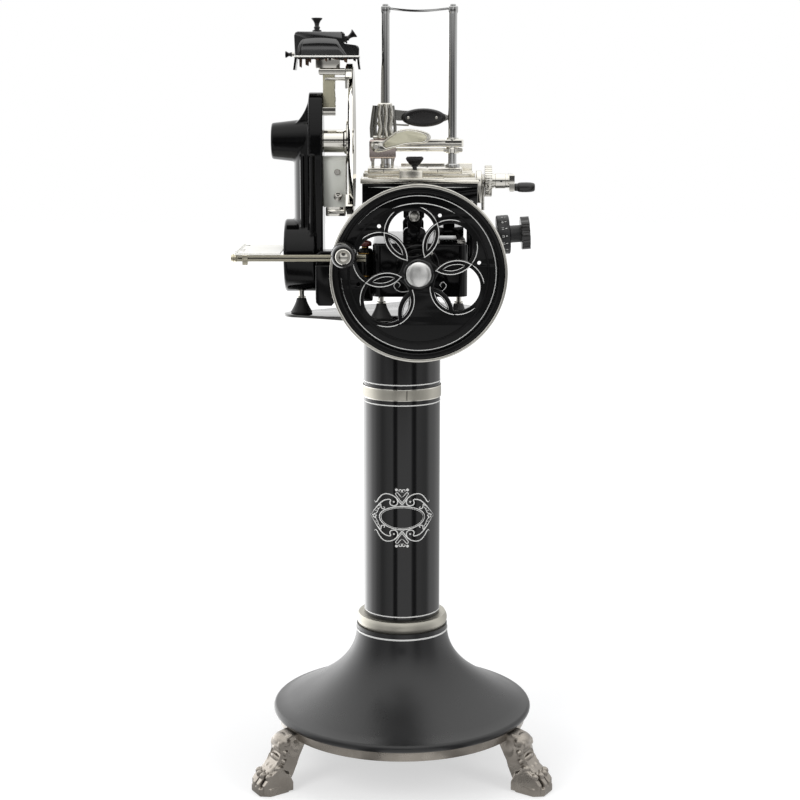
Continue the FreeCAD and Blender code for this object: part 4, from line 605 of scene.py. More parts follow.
def eased(node: str, finish: Finish, width: float = 0.6, steps: int = 2) -> bpy.types.Object:
    """A copy of a plain node with its edges broken, as a finished part has them.

    Args:
        node: the node's name.
        finish: its surface.
        width: size of the broken edges.
        steps: parts of each rounding.

    Returns:
        The piece that stands for the node.
    """
    source = frame["nodes"][node]
    made = bmesh.new()
    made.from_mesh(source.data)
    bmesh.ops.scale(made, vec=(1 / MM, 1 / MM, 1 / MM), verts=made.verts)
    bmesh.ops.remove_doubles(made, verts=made.verts, dist=NODE_WELD)
    bmesh.ops.dissolve_limit(made, angle_limit=math.radians(FLAT_TURN), verts=made.verts, edges=made.edges)
    limit = math.radians(CURVE_TURN)
    turning = [rim for rim in made.edges if rim.is_manifold and rim.calc_face_angle(0.0) > limit]
    bmesh.ops.bevel(made, geom=turning, offset=width, segments=steps, profile=0.5, affect="EDGES",
                    clamp_overlap=True, loop_slide=True)
    body, slot = home(node)
    return piece(node + "_finished", body, finish, made, sharp=40.0, replaces=(node,))


def cast(node: str, finish: Finish, voxel: float = 2.0, rounds: int = 6) -> bpy.types.Object:
    """A copy of a plain node with the soft edges and fillets of a casting.

    Args:
        node: the node's name.
        finish: its surface.
        voxel: size of the new mesh's faces, which sets the fillets.
        rounds: rounds of smoothing.

    Returns:
        The piece that stands for the node.
    """
    thing = bpy.data.objects.new("blank", frame["nodes"][node].data.copy())
    made = softened(thing, voxel, rounds)
    body, slot = home(node)
    return piece(node + "_cast", body, finish, made, sharp=180.0, replaces=(node,))


def evaluated(thing: bpy.types.Object) -> bmesh.types.BMesh:
    """Takes an object with its modifiers as a mesh, and removes the object.

    Args:
        thing: the object, in the scene.

    Returns:
        The mesh, in millimetres.
    """
    mesh = bpy.data.meshes.new_from_object(thing.evaluated_get(bpy.context.evaluated_depsgraph_get()))
    made = bmesh.new()
    made.from_mesh(mesh)
    bmesh.ops.scale(made, vec=(1 / MM, 1 / MM, 1 / MM), verts=made.verts)
    bpy.data.objects.remove(thing)
    bpy.data.meshes.remove(mesh)
    return made


def fret(outlines: list[list[Pair]], low: float, high: float, edge: float = 0.0, plane: Plane = Plane.XZ,
         steps: int = 2) -> bmesh.types.BMesh:
    """A pierced plate with rounded rims.

    Args:
        outlines: the outer outline and the openings.
        low: where it starts across its plane.
        high: where it ends.
        edge: radius of the rims.
        plane: the plane of the outline.
        steps: parts of each rounding.

    Returns:
        The closed mesh.
    """
    curve = bpy.data.curves.new("fret", "CURVE")
    curve.dimensions = "2D"
    curve.fill_mode = "BOTH"
    curve.extrude = ((high - low) / 2 - edge) * MM
    curve.bevel_depth = edge * MM
    curve.bevel_resolution = steps
    curve.offset = -edge * MM
    for outline in outlines:
        spline = curve.splines.new("POLY")
        spline.points.add(len(outline) - 1)
        for point, (a, b) in zip(spline.points, outline):
            point.co = (a * MM, b * MM, 0, 1)
        spline.use_cyclic_u = True
    thing = bpy.data.objects.new("fret", curve)
    bpy.context.scene.collection.objects.link(thing)
    made = evaluated(thing)
    bpy.data.curves.remove(curve)
    bmesh.ops.remove_doubles(made, verts=made.verts, dist=CURVE_WELD)
    middle = (low + high) / 2
    for vert in made.verts:
        a, b, c = vert.co
        vert.co = plane.spot(a, b, middle + c)
    return made


def bearing(start: Pair, end: Pair) -> Pair:
    """Distance from one point to another, and the direction in degrees."""
    across, up = end[0] - start[0], end[1] - start[1]
    return math.hypot(across, up), math.degrees(math.atan2(up, across))


def crossing(apart: float, own: float, other: float) -> float:
    """Where two circles cross, seen from the middle of the first.

    Args:
        apart: distance between their middles.
        own: radius of the first.
        other: radius of the second.

    Returns:
        Degrees between the line to the second middle and the crossing.
    """
    return math.degrees(math.acos(min(1.0, (apart ** 2 + own ** 2 - other ** 2) / (2 * apart * own))))


def circle(centre: Pair, radius: float, steps: int = 96) -> list[Pair]:
    """Points of a full circle."""
    return arc(centre, radius, 0.0, 360.0, steps)[:-1]


def rounded_rod(radius: float, height: float, edge: float) -> list[Pair]:
    """Profile of a solid round bar with softened ends.

    Args:
        radius: the bar's radius.
        height: its length.
        edge: radius of its rims.

    Returns:
        (radius, height) points from the axis to the axis.
    """
    corner = [(radius - edge + edge * math.sin(math.radians(a)), -edge * math.cos(math.radians(a)) + edge)
              for a in (0, 30, 60, 90)]
    return [(0, 0)] + corner + [(r, height - z) for r, z in reversed(corner)] + [(0, height)]


def rounded_ring(inner: float, outer: float, low: float, high: float, edge: float) -> list[Pair]:
    """Profile of a ring with softened edges.

    Args:
        inner: its inner radius.
        outer: its outer radius.
        low: its foot.
        high: its top.
        edge: radius of its rims.

    Returns:
        (radius, height) points, a closed loop.
    """
    loop = []
    for cr, cz, first in ((outer - edge, low + edge, -90), (outer - edge, high - edge, 0),
                          (inner + edge, high - edge, 90), (inner + edge, low + edge, 180)):
        loop += [(cr + edge * math.cos(math.radians(first + a)),
                  cz + edge * math.sin(math.radians(first + a)))
                 for a in (0, 30, 60, 90)]
    return loop


# ---------------------------------------------------------------- studio
@dataclass
class Studio:
    """Pale floor, soft light and the camera."""

    floor_colour: str = "ffffff"
    lens: float = 75.7
    eye: Point = (-0.0036, -2.990, 1.2212)
    pitch: float = 79.9
    sensor: float = 36.0
    floor_half: float = 14.0
    aim_height: float = 0.75

    def stage(self) -> None:
        """Lays the floor: white that keeps the shadow near the paws, with dark flags only for reflections."""
        mesh = bpy.data.meshes.new("floor")
        size = self.floor_half
        mesh.from_pydata([(-size, -size, 0), (size, -size, 0), (size, size, 0), (-size, size, 0)], [],
                         [(0, 1, 2, 3)])
        floor = bpy.data.objects.new("floor", mesh)
        bpy.context.scene.collection.objects.link(floor)
        made = bpy.data.materials.new("studio_floor")
        made.use_nodes = True
        tree = made.node_tree
        tree.nodes.clear()
        path = add(tree, "ShaderNodeLightPath")
        place = add(tree, "ShaderNodeTexCoord")
        reach = add(tree, "ShaderNodeVectorMath", {"operation": "LENGTH"}, {0: (place, "Object")})
        far = add(tree, "ShaderNodeMapRange", {
            "interpolation_type": "SMOOTHSTEP", "From Min": 0.45, "From Max": 1.5, "To Min": 0.5,
            "To Max": 1.0},
            {"Value": (reach, "Value")})
        plain = add(tree, "ShaderNodeBsdfDiffuse", {"Color": linear(self.floor_colour)})
        glow = add(tree, "ShaderNodeEmission", {"Color": (1, 1, 1, 1), "Strength": 1.12})
        share = add(tree, "ShaderNodeMath", {"operation": "MULTIPLY"},
                    {0: (path, "Is Camera Ray"), 1: (far, "Result")})
        seen = add(tree, "ShaderNodeMixShader", None, {0: (share, 0), 1: (plain, 0), 2: (glow, 0)})
        split = add(tree, "ShaderNodeSeparateXYZ", None, {0: (place, "Object")})
        flags = self.flags(tree, split)
        depth = add(tree, "ShaderNodeMapRange", {
            "interpolation_type": "SMOOTHSTEP", "From Min": -5.5, "From Max": -2.6, "To Min": 0.32,
            "To Max": 1.0},
            {"Value": (split, "Y")})
        shiny = add(tree, "ShaderNodeEmission", None, {"Color": flags, "Strength": (depth, "Result")})
        both = add(tree, "ShaderNodeMixShader", None,
                   {0: (path, "Is Glossy Ray"), 1: (seen, 0), 2: (shiny, 0)})
        add(tree, "ShaderNodeOutputMaterial", None, {"Surface": (both, 0)})
        mesh.materials.append(made)

    def flags(self, tree: bpy.types.NodeTree, split: bpy.types.Node) -> tuple[bpy.types.Node, str]:
        """Adds dark flags that stand round the machine, as polished surfaces see them.

        Args:
            tree: the nodes.
            split: node with the X and Y of the direction.

        Returns:
            The node and the output that hold the tone.
        """
        angle = add(tree, "ShaderNodeMath", {"operation": "ARCTAN2"}, {0: (split, "X"), 1: (split, "Y")})
        turn = add(tree, "ShaderNodeMapRange", {"From Min": -math.pi, "From Max": math.pi}, {0: (angle, 0)})
        bands = add(tree, "ShaderNodeValToRGB", None, {0: (turn, 0)})
        ramp = bands.color_ramp
        ramp.interpolation = "EASE"
        tones = [(0.0, 0.95), (0.03, 0.95), (0.045, 0.12), (0.065, 0.12), (0.08, 0.8), (0.11, 0.7),
                 (0.17, 0.45),
                 (0.21, 0.8), (0.26, 1.5), (0.32, 2.6), (0.4, 2.8), (0.47, 1.2), (0.5, 1.0), (0.6, 0.7),
                 (0.67, 1.0), (0.74, 1.2),
                 (0.79, 0.55), (0.87, 0.7), (0.89, 0.12), (0.91, 0.16), (0.93, 0.95), (1.0, 0.95)]
        while len(ramp.elements) > 1:
            ramp.elements.remove(ramp.elements[-1])
        ramp.elements[0].position = tones[0][0]
        ramp.elements[0].color = (tones[0][1],) * 3 + (1,)
        for at, tone in tones[1:]:
            ramp.elements.new(at).color = (tone,) * 3 + (1,)
        return bands, "Color"

    def world(self) -> None:
        """Sets the surroundings: even white, with flags that only polished surfaces show."""
        world = bpy.data.worlds.new("studio")
        bpy.context.scene.world = world
        world.use_nodes = True
        tree = world.node_tree
        tree.nodes.clear()
        place = add(tree, "ShaderNodeTexCoord")
        split = add(tree, "ShaderNodeSeparateXYZ", None, {0: (place, "Generated")})
        bands = self.flags(tree, split)
        up = add(tree, "ShaderNodeMapRange", {"From Min": 0.3, "From Max": 0.85}, {0: (split, "Z")})
        sky = add(tree, "ShaderNodeMix", {"data_type": "RGBA", 7: (1.7, 1.7, 1.68, 1)},
                  {0: (up, 0), 6: bands})
        ahead = add(tree, "ShaderNodeVectorMath", {"operation": "DOT_PRODUCT", 1: (0.0, -0.988, 0.156)},
                    {0: (place, "Generated")})
        card = add(tree, "ShaderNodeMapRange", {
            "interpolation_type": "SMOOTHSTEP", "From Min": 0.982, "From Max": 0.991, "To Min": 1.0,
            "To Max": 0.08},
            {"Value": (ahead, "Value")})
        shiny = add(tree, "ShaderNodeBackground", None, {"Color": (sky, 2), "Strength": (card, "Result")})
        even = add(tree, "ShaderNodeBackground", {"Color": (0.97, 0.98, 1.0, 1), "Strength": 0.55})
        white = add(tree, "ShaderNodeBackground", {"Color": (1, 1, 1, 1), "Strength": 1.0})
        path = add(tree, "ShaderNodeLightPath")
        first = add(tree, "ShaderNodeMixShader", None,
                    {0: (path, "Is Glossy Ray"), 1: (even, 0), 2: (shiny, 0)})
        both = add(tree, "ShaderNodeMixShader", None,
                   {0: (path, "Is Camera Ray"), 1: (first, 0), 2: (white, 0)})
        add(tree, "ShaderNodeOutputWorld", None, {"Surface": (both, 0)})

    def lamp(self, name: str, place: Point, size: Pair, watts: float) -> None:
        """Hangs one softbox that points at the machine.

        Args:
            name: the lamp's name.
            place: where it hangs, in metres.
            size: its width and height, in metres.
            watts: its power.
        """
        light = bpy.data.lights.new(name, "AREA")
        light.shape = "RECTANGLE"
        light.size, light.size_y = size
        light.energy = watts
        thing = bpy.data.objects.new(name, light)
        thing.visible_glossy = False
        thing.location = place
        thing.rotation_euler = (Vector((0, 0, self.aim_height)) - Vector(place)).to_track_quat("-Z",
                                                                                               "Y").to_euler()
        bpy.context.scene.collection.objects.link(thing)

    def camera(self) -> None:
        """Sets the camera at eye height in front of the machine."""
        data = bpy.data.cameras.new("camera")
        data.lens = self.lens
        data.sensor_width = self.sensor
        thing = bpy.data.objects.new("camera", data)
        thing.location = self.eye
        thing.rotation_euler = (math.radians(self.pitch), 0, 0)
        bpy.context.scene.collection.objects.link(thing)
        bpy.context.scene.camera = thing

    def build(self) -> None:
        """Builds all of it."""
        self.stage()
        self.world()
        self.lamp("key_softbox", (-1.9, -2.2, 2.3), (1.3, 1.8), 38.0)
        self.lamp("fill_softbox", (2.2, -1.8, 1.6), (0.9, 2.0), 24.0)
        self.lamp("top_softbox", (0.0, 0.3, 3.2), (2.0, 1.6), 30.0)
        self.camera()
        view = bpy.context.scene.view_settings
        view.view_transform = "Standard"


# ---------------------------------------------------------------- stand
@dataclass
class Stand:
    """Paws, bell, collar, column and band of the stand."""

    column_radius: float = 69.0
    ring_low: float = 91.0
    bell_low: float = 109.0
    rim_radius: float = 238.0
    rim_thickness: float = 15.0
    bell_top: float = 273.0
    throat: float = 83.0
    collar_top: float = 294.0
    plate_low: float = 842.0
    ring_radius: float = 228.0
    paw_reach: float = 303.0
    paw_angles: tuple[float, ...] = (-30.0, -150.0, 90.0)
    crest_middle: float = 486.5

    def bell(self) -> None:
        """Turns the trumpet-shaped bell with its rolled rim."""
        low, rim = self.bell_low, self.rim_thickness
        flare = []
        for i in range(33):
            share = 1.0 - (1.0 - i / 32) ** 1.7
            height = rim + (self.bell_top - low - rim) * share
            radius = self.throat + (self.rim_radius - rim / 2 - self.throat) * (1 - share) ** 2.35
            flare.append((radius, low + height))
        roll = [(self.rim_radius - rim / 2 + rim / 2 * math.cos(a), low + rim / 2 + rim / 2 * math.sin(a))
                for a in (math.radians(-90 + 15 * i) for i in range(12))]
        inside = [(64.0, self.bell_top), (64.0, 174.0), (122.0, 174.0), (122.0, 125.0), (204.0, 125.0),
                  (204.0, low)]
        made = lathe(roll + flare + inside, segments=192)
        piece("bell", STAND, ENAMEL_SOFT, made, 30, ("bell_base",))
        line = lathe(rounded_ring(83.0, 84.2, 262.0, 265.0, 0.3), segments=160)
        piece("bell_line", STAND, LINING_AND_HIGHLIGHT, line)

    def tube(self) -> None:
        """Turns the column, its collar, its band and the painted lines."""
        r = self.column_radius
        made = lathe([(r - 5, self.bell_top), (r, self.bell_top), (r, self.plate_low),
                      (r - 5, self.plate_low)],
                     segments=160)
        piece("column_tube", STAND, ENAMEL, made, 30, ("column",))
        low, high = self.bell_top, self.collar_top
        belly = [(self.throat - 3.5 + 3.5 * math.sin(math.pi * t / 12), low + (high - low) * t / 12)
                 for t in range(13)]
        collar = lathe([(r + 0.05, low)] + belly + [(r + 0.05, high)], segments=160)
        piece("collar", STAND, BRUSHED, collar, 50, ("lower_collar",))
        for at in (301.0, 689.0, 725.5):
            ring = lathe(rounded_ring(r - 0.2, r + 0.35, at, at + 2.0, 0.2), segments=160)
            piece(f"column_line_{at:.0f}", STAND, LINING_AND_HIGHLIGHT, ring)
        edges = [lathe(rounded_ring(r, r + 1.75, z, z + 1.6, 0.4), segments=160) for z in (698.0, 717.4)]
        piece("band_edges", STAND, CHROME, merge(*edges))
        eased("upper_band", BRUSHED, 0.15)

    def paws(self) -> None:
        """Casts the ring and its three lion's paws."""
        ring = lathe(rounded_ring(204.2, self.ring_radius - 0.3, self.ring_low + 0.2, self.bell_low - 0.1,
                                  2.0),
                     segments=160)
        piece("foot_ring", STAND, CAST, ring, 40, ("paw_base",))
        made = self.paw()
        for i, angle in enumerate(self.paw_angles):
            copy = made.copy()
            bmesh.ops.rotate(copy, cent=(0, 0, 0), matrix=Matrix.Rotation(math.radians(angle), 3, "Z"),
                             verts=copy.verts)
            piece(f"paw_{i + 1}", STAND, CAST, copy, 180)
        made.free()

    def paw(self) -> bmesh.types.BMesh:
        """Models one paw along +X: curved leg, knee, sole block, four facetted toes and folds of the skin.

        Returns:
            The paw as one skin, from the floor up to the bell.
        """
        leg = [(209, 106), (234, 106), (251, 101.5), (262, 93), (264, 84), (257, 74), (261, 63), (272, 52),
               (283, 42), (283, 6), (252, 4), (243, 14), (240, 30), (233, 46), (221, 62), (210, 84)]
        parts = [prism(leg, Plane.XZ, -19, 19, 4.5, 3)]
        sole = [(248, -25), (286, -29), (302.4, -17), (302.4, 17), (286, 29), (248, 25)]
        parts.append(prism(sole, Plane.XY, 0.3, 15, 2.0, 2))
        parts.append(lump((249, 0, 91), (15, 23, 13)))
        for side in (-1, 1):
            parts.append(prism([(238, 2), (262, 2), (266, 26), (258, 42), (246, 36), (238, 18)], Plane.XZ,
                               *sorted((side * 14, side * 25)), 3.5, 3))
            parts.append(lump((232, side * 14, 78), (13, 8, 20)))
            parts.append(lump((250, side * 12, 62), (9, 7, 10)))
        for i in range(4):
            side = i - 1.5
            y, back = side * 13.8, 5.0 * max(abs(side) - 0.5, 0.0)
            toe = [(256, 4), (256, 36), (265, 47), (277, 45), (289, 36), (297, 27), (302.4, 21), (302.4, 4)]
            parts.append(prism([(x - back, z) for x, z in toe], Plane.XZ, y - 5.4, y + 5.4, 2.2, 2))
            parts.append(lump((270 - back, y, 46.5), (8.5, 5.8, 6.0)))
            parts.append(lump((289 - back, y, 34.0), (8.0, 5.8, 6.5)))
        for x, z, wide in ((259, 77, 18), (262, 61, 18)):
            fold = [(x - 9, -wide - 3, z - 5), (x - 1, -wide * 0.7, z), (x + 2.4, 0, z + 3),
                    (x - 1, wide * 0.7, z), (x - 9, wide + 3, z - 5)]
            parts.append(tube(fold, 5.0, 12))
        for part in parts:
            bmesh.ops.recalc_face_normals(part, faces=part.faces)
        skin = melted(merge(*parts), 1.1, 2)
        for vert in skin.verts:
            vert.co.z = min(max(vert.co.z, 0.0), self.bell_low)
            vert.co.x = min(vert.co.x, self.paw_reach - 0.3)
        return skin

    def crest(self) -> None:
        """Paints the scrolled oval on the column: an empty oval in a pointed frame with curls and stems."""
        lines = [(self.oval(40.4, 21.3), 1.7), (self.oval(37.6, 18.9), 0.8)]
        frame_side = [(-56.5, 0), (-49, 11.5), (-41, 22.5), (-36, 28.0), (-31, 31.6), (-24, 33.6),
                      (-20.5, 32.6), (-21.6, 28),
                      (-20.4, 24.2), (-16.5, 22.4), (-11.6, 22.8), (-8.4, 26.2), (-7.8, 31), (-10.4, 36),
                      (-15, 38.8)]
        flow = [(-49.5, 28.5), (-47.5, 25.6), (-44.6, 27.6), (-41, 34), (-36, 40.0), (-30, 43.2), (-23, 43.2),
                (-15, 40.4), (-9, 35.6), (-4.5, 29.4), (0, 24.4), (4.6, 22.6)]
        stem = [(0, 37.6), (-4.4, 42.2), (-8.4, 46.6), (-11.6, 44.4), (-8.6, 39.8), (-5.2, 34.6), (-1.4, 30),
                (2.4, 25.6)]
        curl = [(-2.6, 46.6), (-0.6, 48.8), (-1.0, 51.4), (-3.6, 52.2), (-5.6, 50.4), (-4.4, 48.2)]
        side_curl = [(-44, 18), (-38.6, 23.4), (-37.4, 18.6), (-36.2, 16.0), (-32.8, 15.2), (-31.2, 17.6),
                     (-33.2, 19.6)]
        for sx in (-1, 1):
            for sz in (-1, 1):
                for line, width in ((frame_side, 1.9), (flow, 1.7), (stem, 1.3), (curl, 1.5),
                                    (side_curl, 1.7)):
                    lines.append(([(sx * x, sz * z) for x, z in rounded(line, 4)], width))
                lines.append(([(sx * x, sz * z) for x, z in rounded([(-52, 2), (-45.5, 6), (-42, 14),
                                                                     (-38.5, 18)], 4)], 1.2))
                lines.append((self.dot(sx * -9.9, sz * 51.6, 1.4), 2.4))
                lines.append((self.dot(sx * -14.6, sz * 29.6, 0.9), 1.6))
                for x, z in ((-46.5, 10.0), (-43.2, 14.6), (-40.8, 19.6)):
                    lines.append((self.dot(sx * x, sz * z, 0.5), 1.0))
            for turn in range(5):
                a = math.radians(72 * turn + 18)
                lines.append((self.dot(sx * -49.3 + 2.9 * math.cos(a), 2.9 * math.sin(a), 0.7), 1.4))
        parts = [self.wrapped([(x, self.crest_middle + z) for x, z in line], width) for line, width in lines]
        piece("column_ornament", STAND, LINING_AND_HIGHLIGHT, merge(*parts), 60)

    def dot(self, x: float, z: float, radius: float) -> list[Pair]:
        """Points of a small ring that fills itself."""
        return [(x + radius * math.cos(math.radians(30 * i)),
                 z + radius * math.sin(math.radians(30 * i))) for i in range(16)]

    def oval(self, half: float, high: float) -> list[Pair]:
        """Points around an oval."""
        return [(half * math.cos(a),
                 high * math.sin(a)) for a in (math.radians(5 * i) for i in range(-4, 77))]

    def wrapped(self, line: list[Pair], width: float) -> bmesh.types.BMesh:
        """A painted line laid on the column's front.

        Args:
            line: (x, z) points as they look from the front.
            width: its width.

        Returns:
            The closed mesh.
        """
        flat = stripe(line, width, 0.0, 0.2)
        r = self.column_radius
        for vert in flat.verts:
            along, lift = math.asin(max(-0.95, min(0.95, vert.co.x / r))), 0.1 - vert.co.y
            vert.co = ((r + lift) * math.sin(along), -(r + lift) * math.cos(along), vert.co.z)
        return flat

    def build(self) -> None:
        """Builds the stand."""
        self.bell()
        self.tube()
        self.paws()
        self.crest()


# ---------------------------------------------------------------- base of the machine
@dataclass
class Base:
    """Machine's base: plate, cone feet, casting, ways, guide bar, bearing, oil cup and bridge."""

    plate_top: float = 847.0
    foot_height: float = 27.0
    feet: tuple[Pair, ...] = ((-179.5, 0.0), (-36.0, -85.0), (98.0, -85.0), (31.0, 165.0))
    drum_low: float = 886.5
    casting_low: float = 887.0
    front: float = -100.0
    oil_place: Pair = (-64.02, -74.0)
    oil_low: float = 917.0

    def footing(self) -> None:
        """Turns the rubber cones and their adjusting screws."""
        low, high = self.plate_top, self.plate_top + self.foot_height
        cones, stems = [], []
        for x, y in self.feet:
            top = self.drum_low if y == 0.0 and x < 0 else self.casting_low
            cones.append(lathe([(0, 0.05), (18.2, 0.05), (19, 0.9), (19, 3.2), (17.6, 5.0), (13.0, 13.5),
                                (10.0, 20.5),
                                (8.6, 25.6), (7.8, 26.95), (5.05, 26.95), (5.05, 19.0), (0, 19.0)],
                               (x, y, low)))
            length = top - high
            stems.append(lathe([(0, -7.9), (5, -7.9), (5, 0.4), (7.4, 0.4), (7.8, 0.9), (7.8, 3.1),
                                (7.4, 3.6), (5, 3.6), (5, length), (0, length)], (x, y, high), segments=48))
        piece("cone_feet", STAND, RUBBER, merge(*cones), 35, ("machine_feet",))
        piece("foot_screws", STAND, CHROME, merge(*stems), 35, ("foot_stems",))

    def bearing(self) -> None:
        """Turns the bearing nose with its flange bolts, and the oil cup with its lacquered lid."""
        nose = lathe([(12.05, 0), (36.0, 0), (37, 1), (37, 8.6), (35.6, 10), (29.5, 10.2), (27.4, 12.6),
                      (27, 15), (27, 96), (25, 99.6), (23.8, 100), (12.05, 100)], (27, -100, 941), FRONT)
        piece("bearing_nose", STAND, ENAMEL_CAST, nose, 35, ("wheel_bearing",))
        bolts = []
        for k in range(4):
            a = math.radians(45 + 90 * k)
            bolts.append(lathe([(0, 0), (3.2, 0), (3.2, 2.2), (2.6, 2.9), (0, 3.1)],
                               (27 + 32 * math.cos(a), -109.9, 941 + 32 * math.sin(a)), FRONT, 24))
        piece("bearing_bolts", STAND, GROUND, merge(*bolts), 35)
        x, y = self.oil_place
        cup = lathe([(0, 0), (11.6, 0), (13, 1.4), (13, 46), (12.2, 50.6), (9.2, 52), (5.85, 52.4),
                     (5.85, 58), (0, 58)],
                    (x, y, self.oil_low))
        piece("oil_cup", STAND, ENAMEL_CAST, cup, 35, ("lubricator",))
        bands = [lathe(rounded_ring(r - 0.2, r + 0.25, z, z + 1.4, 0.2), (x, y, self.oil_low))
                 for r, z in ((13, 4), (13, 43), (5.85, 53))]
        piece("oil_cup_rings", STAND, BRASS, merge(*bands), 35)
        lid = lathe([(0, 56.0), (10.6, 56.0), (11.4, 56.8), (11.4, 61.4), (9.6, 64.0), (4.6, 65.7), (0, 66)],
                    (x, y, self.oil_low))
        piece("oil_cup_lid", STAND, LACQUER, lid, 50)

    def shelf(self) -> None:
        """Shapes the bracket of the tray's rail: a block below the rail and a cheek behind it."""
        below = prism([(-148, 880), (-143, 874), (-121, 874), (-116, 880), (-116, 943.6), (-148, 943.6)],
                      Plane.XZ, -123, -55, 2.4, 3)
        cheek = prism([(-148, 940), (-116, 940), (-116, 966), (-140, 966), (-148, 960)], Plane.XZ, -104.4,
                      -55, 2.0, 3)
        piece("rail_shelf", STAND, ENAMEL_CAST, merge(below, cheek), 35, ("tray_clamp",))

    def lining(self) -> None:
        """Paints the scrolled line on the base's front."""
        middle, height, squeeze = 31, 896.0, 0.82
        run = [(31, 3), (38, -2), (46, 4), (56, 1), (70, 0), (80, 3), (86, 11), (79, 17), (73, 12), (77, 7)]
        leaf = [(31, 3), (36, 10), (45, 12), (50, 7)]
        lines = []
        for side in (-1, 1):
            for line, width in ((run, 1.3), (leaf, 1.1)):
                bent = [(middle + side * (x - middle) * squeeze, height + up) for x, up in rounded(line, 6)]
                lines.append(stripe(bent, width, self.front - 0.02))
        piece("base_lining", STAND, LINING_AND_HIGHLIGHT, merge(*lines), 60)

    def build(self) -> None:
        """Builds the base."""
        eased("machine_plate", PLATE, 1.2, 3)
        self.footing()
        eased("base_casting", ENAMEL_CAST, 2.4, 4)
        for name in ("guide_posts", "dial_bracket"):
            eased(name, ENAMEL_CAST, 1.0)
        cast("bridge", ENAMEL_CAST, 1.8, 14)
        self.shelf()
        eased("base_ways", GROUND, 0.4)
        bar = lathe(rounded_rod(9.0, 282.0, 1.2), (21, -101, 1025), BACK)
        piece("guide_bar_ground", STAND, GROUND, bar, 35, ("guide_bar",))
        self.bearing()
        self.lining()


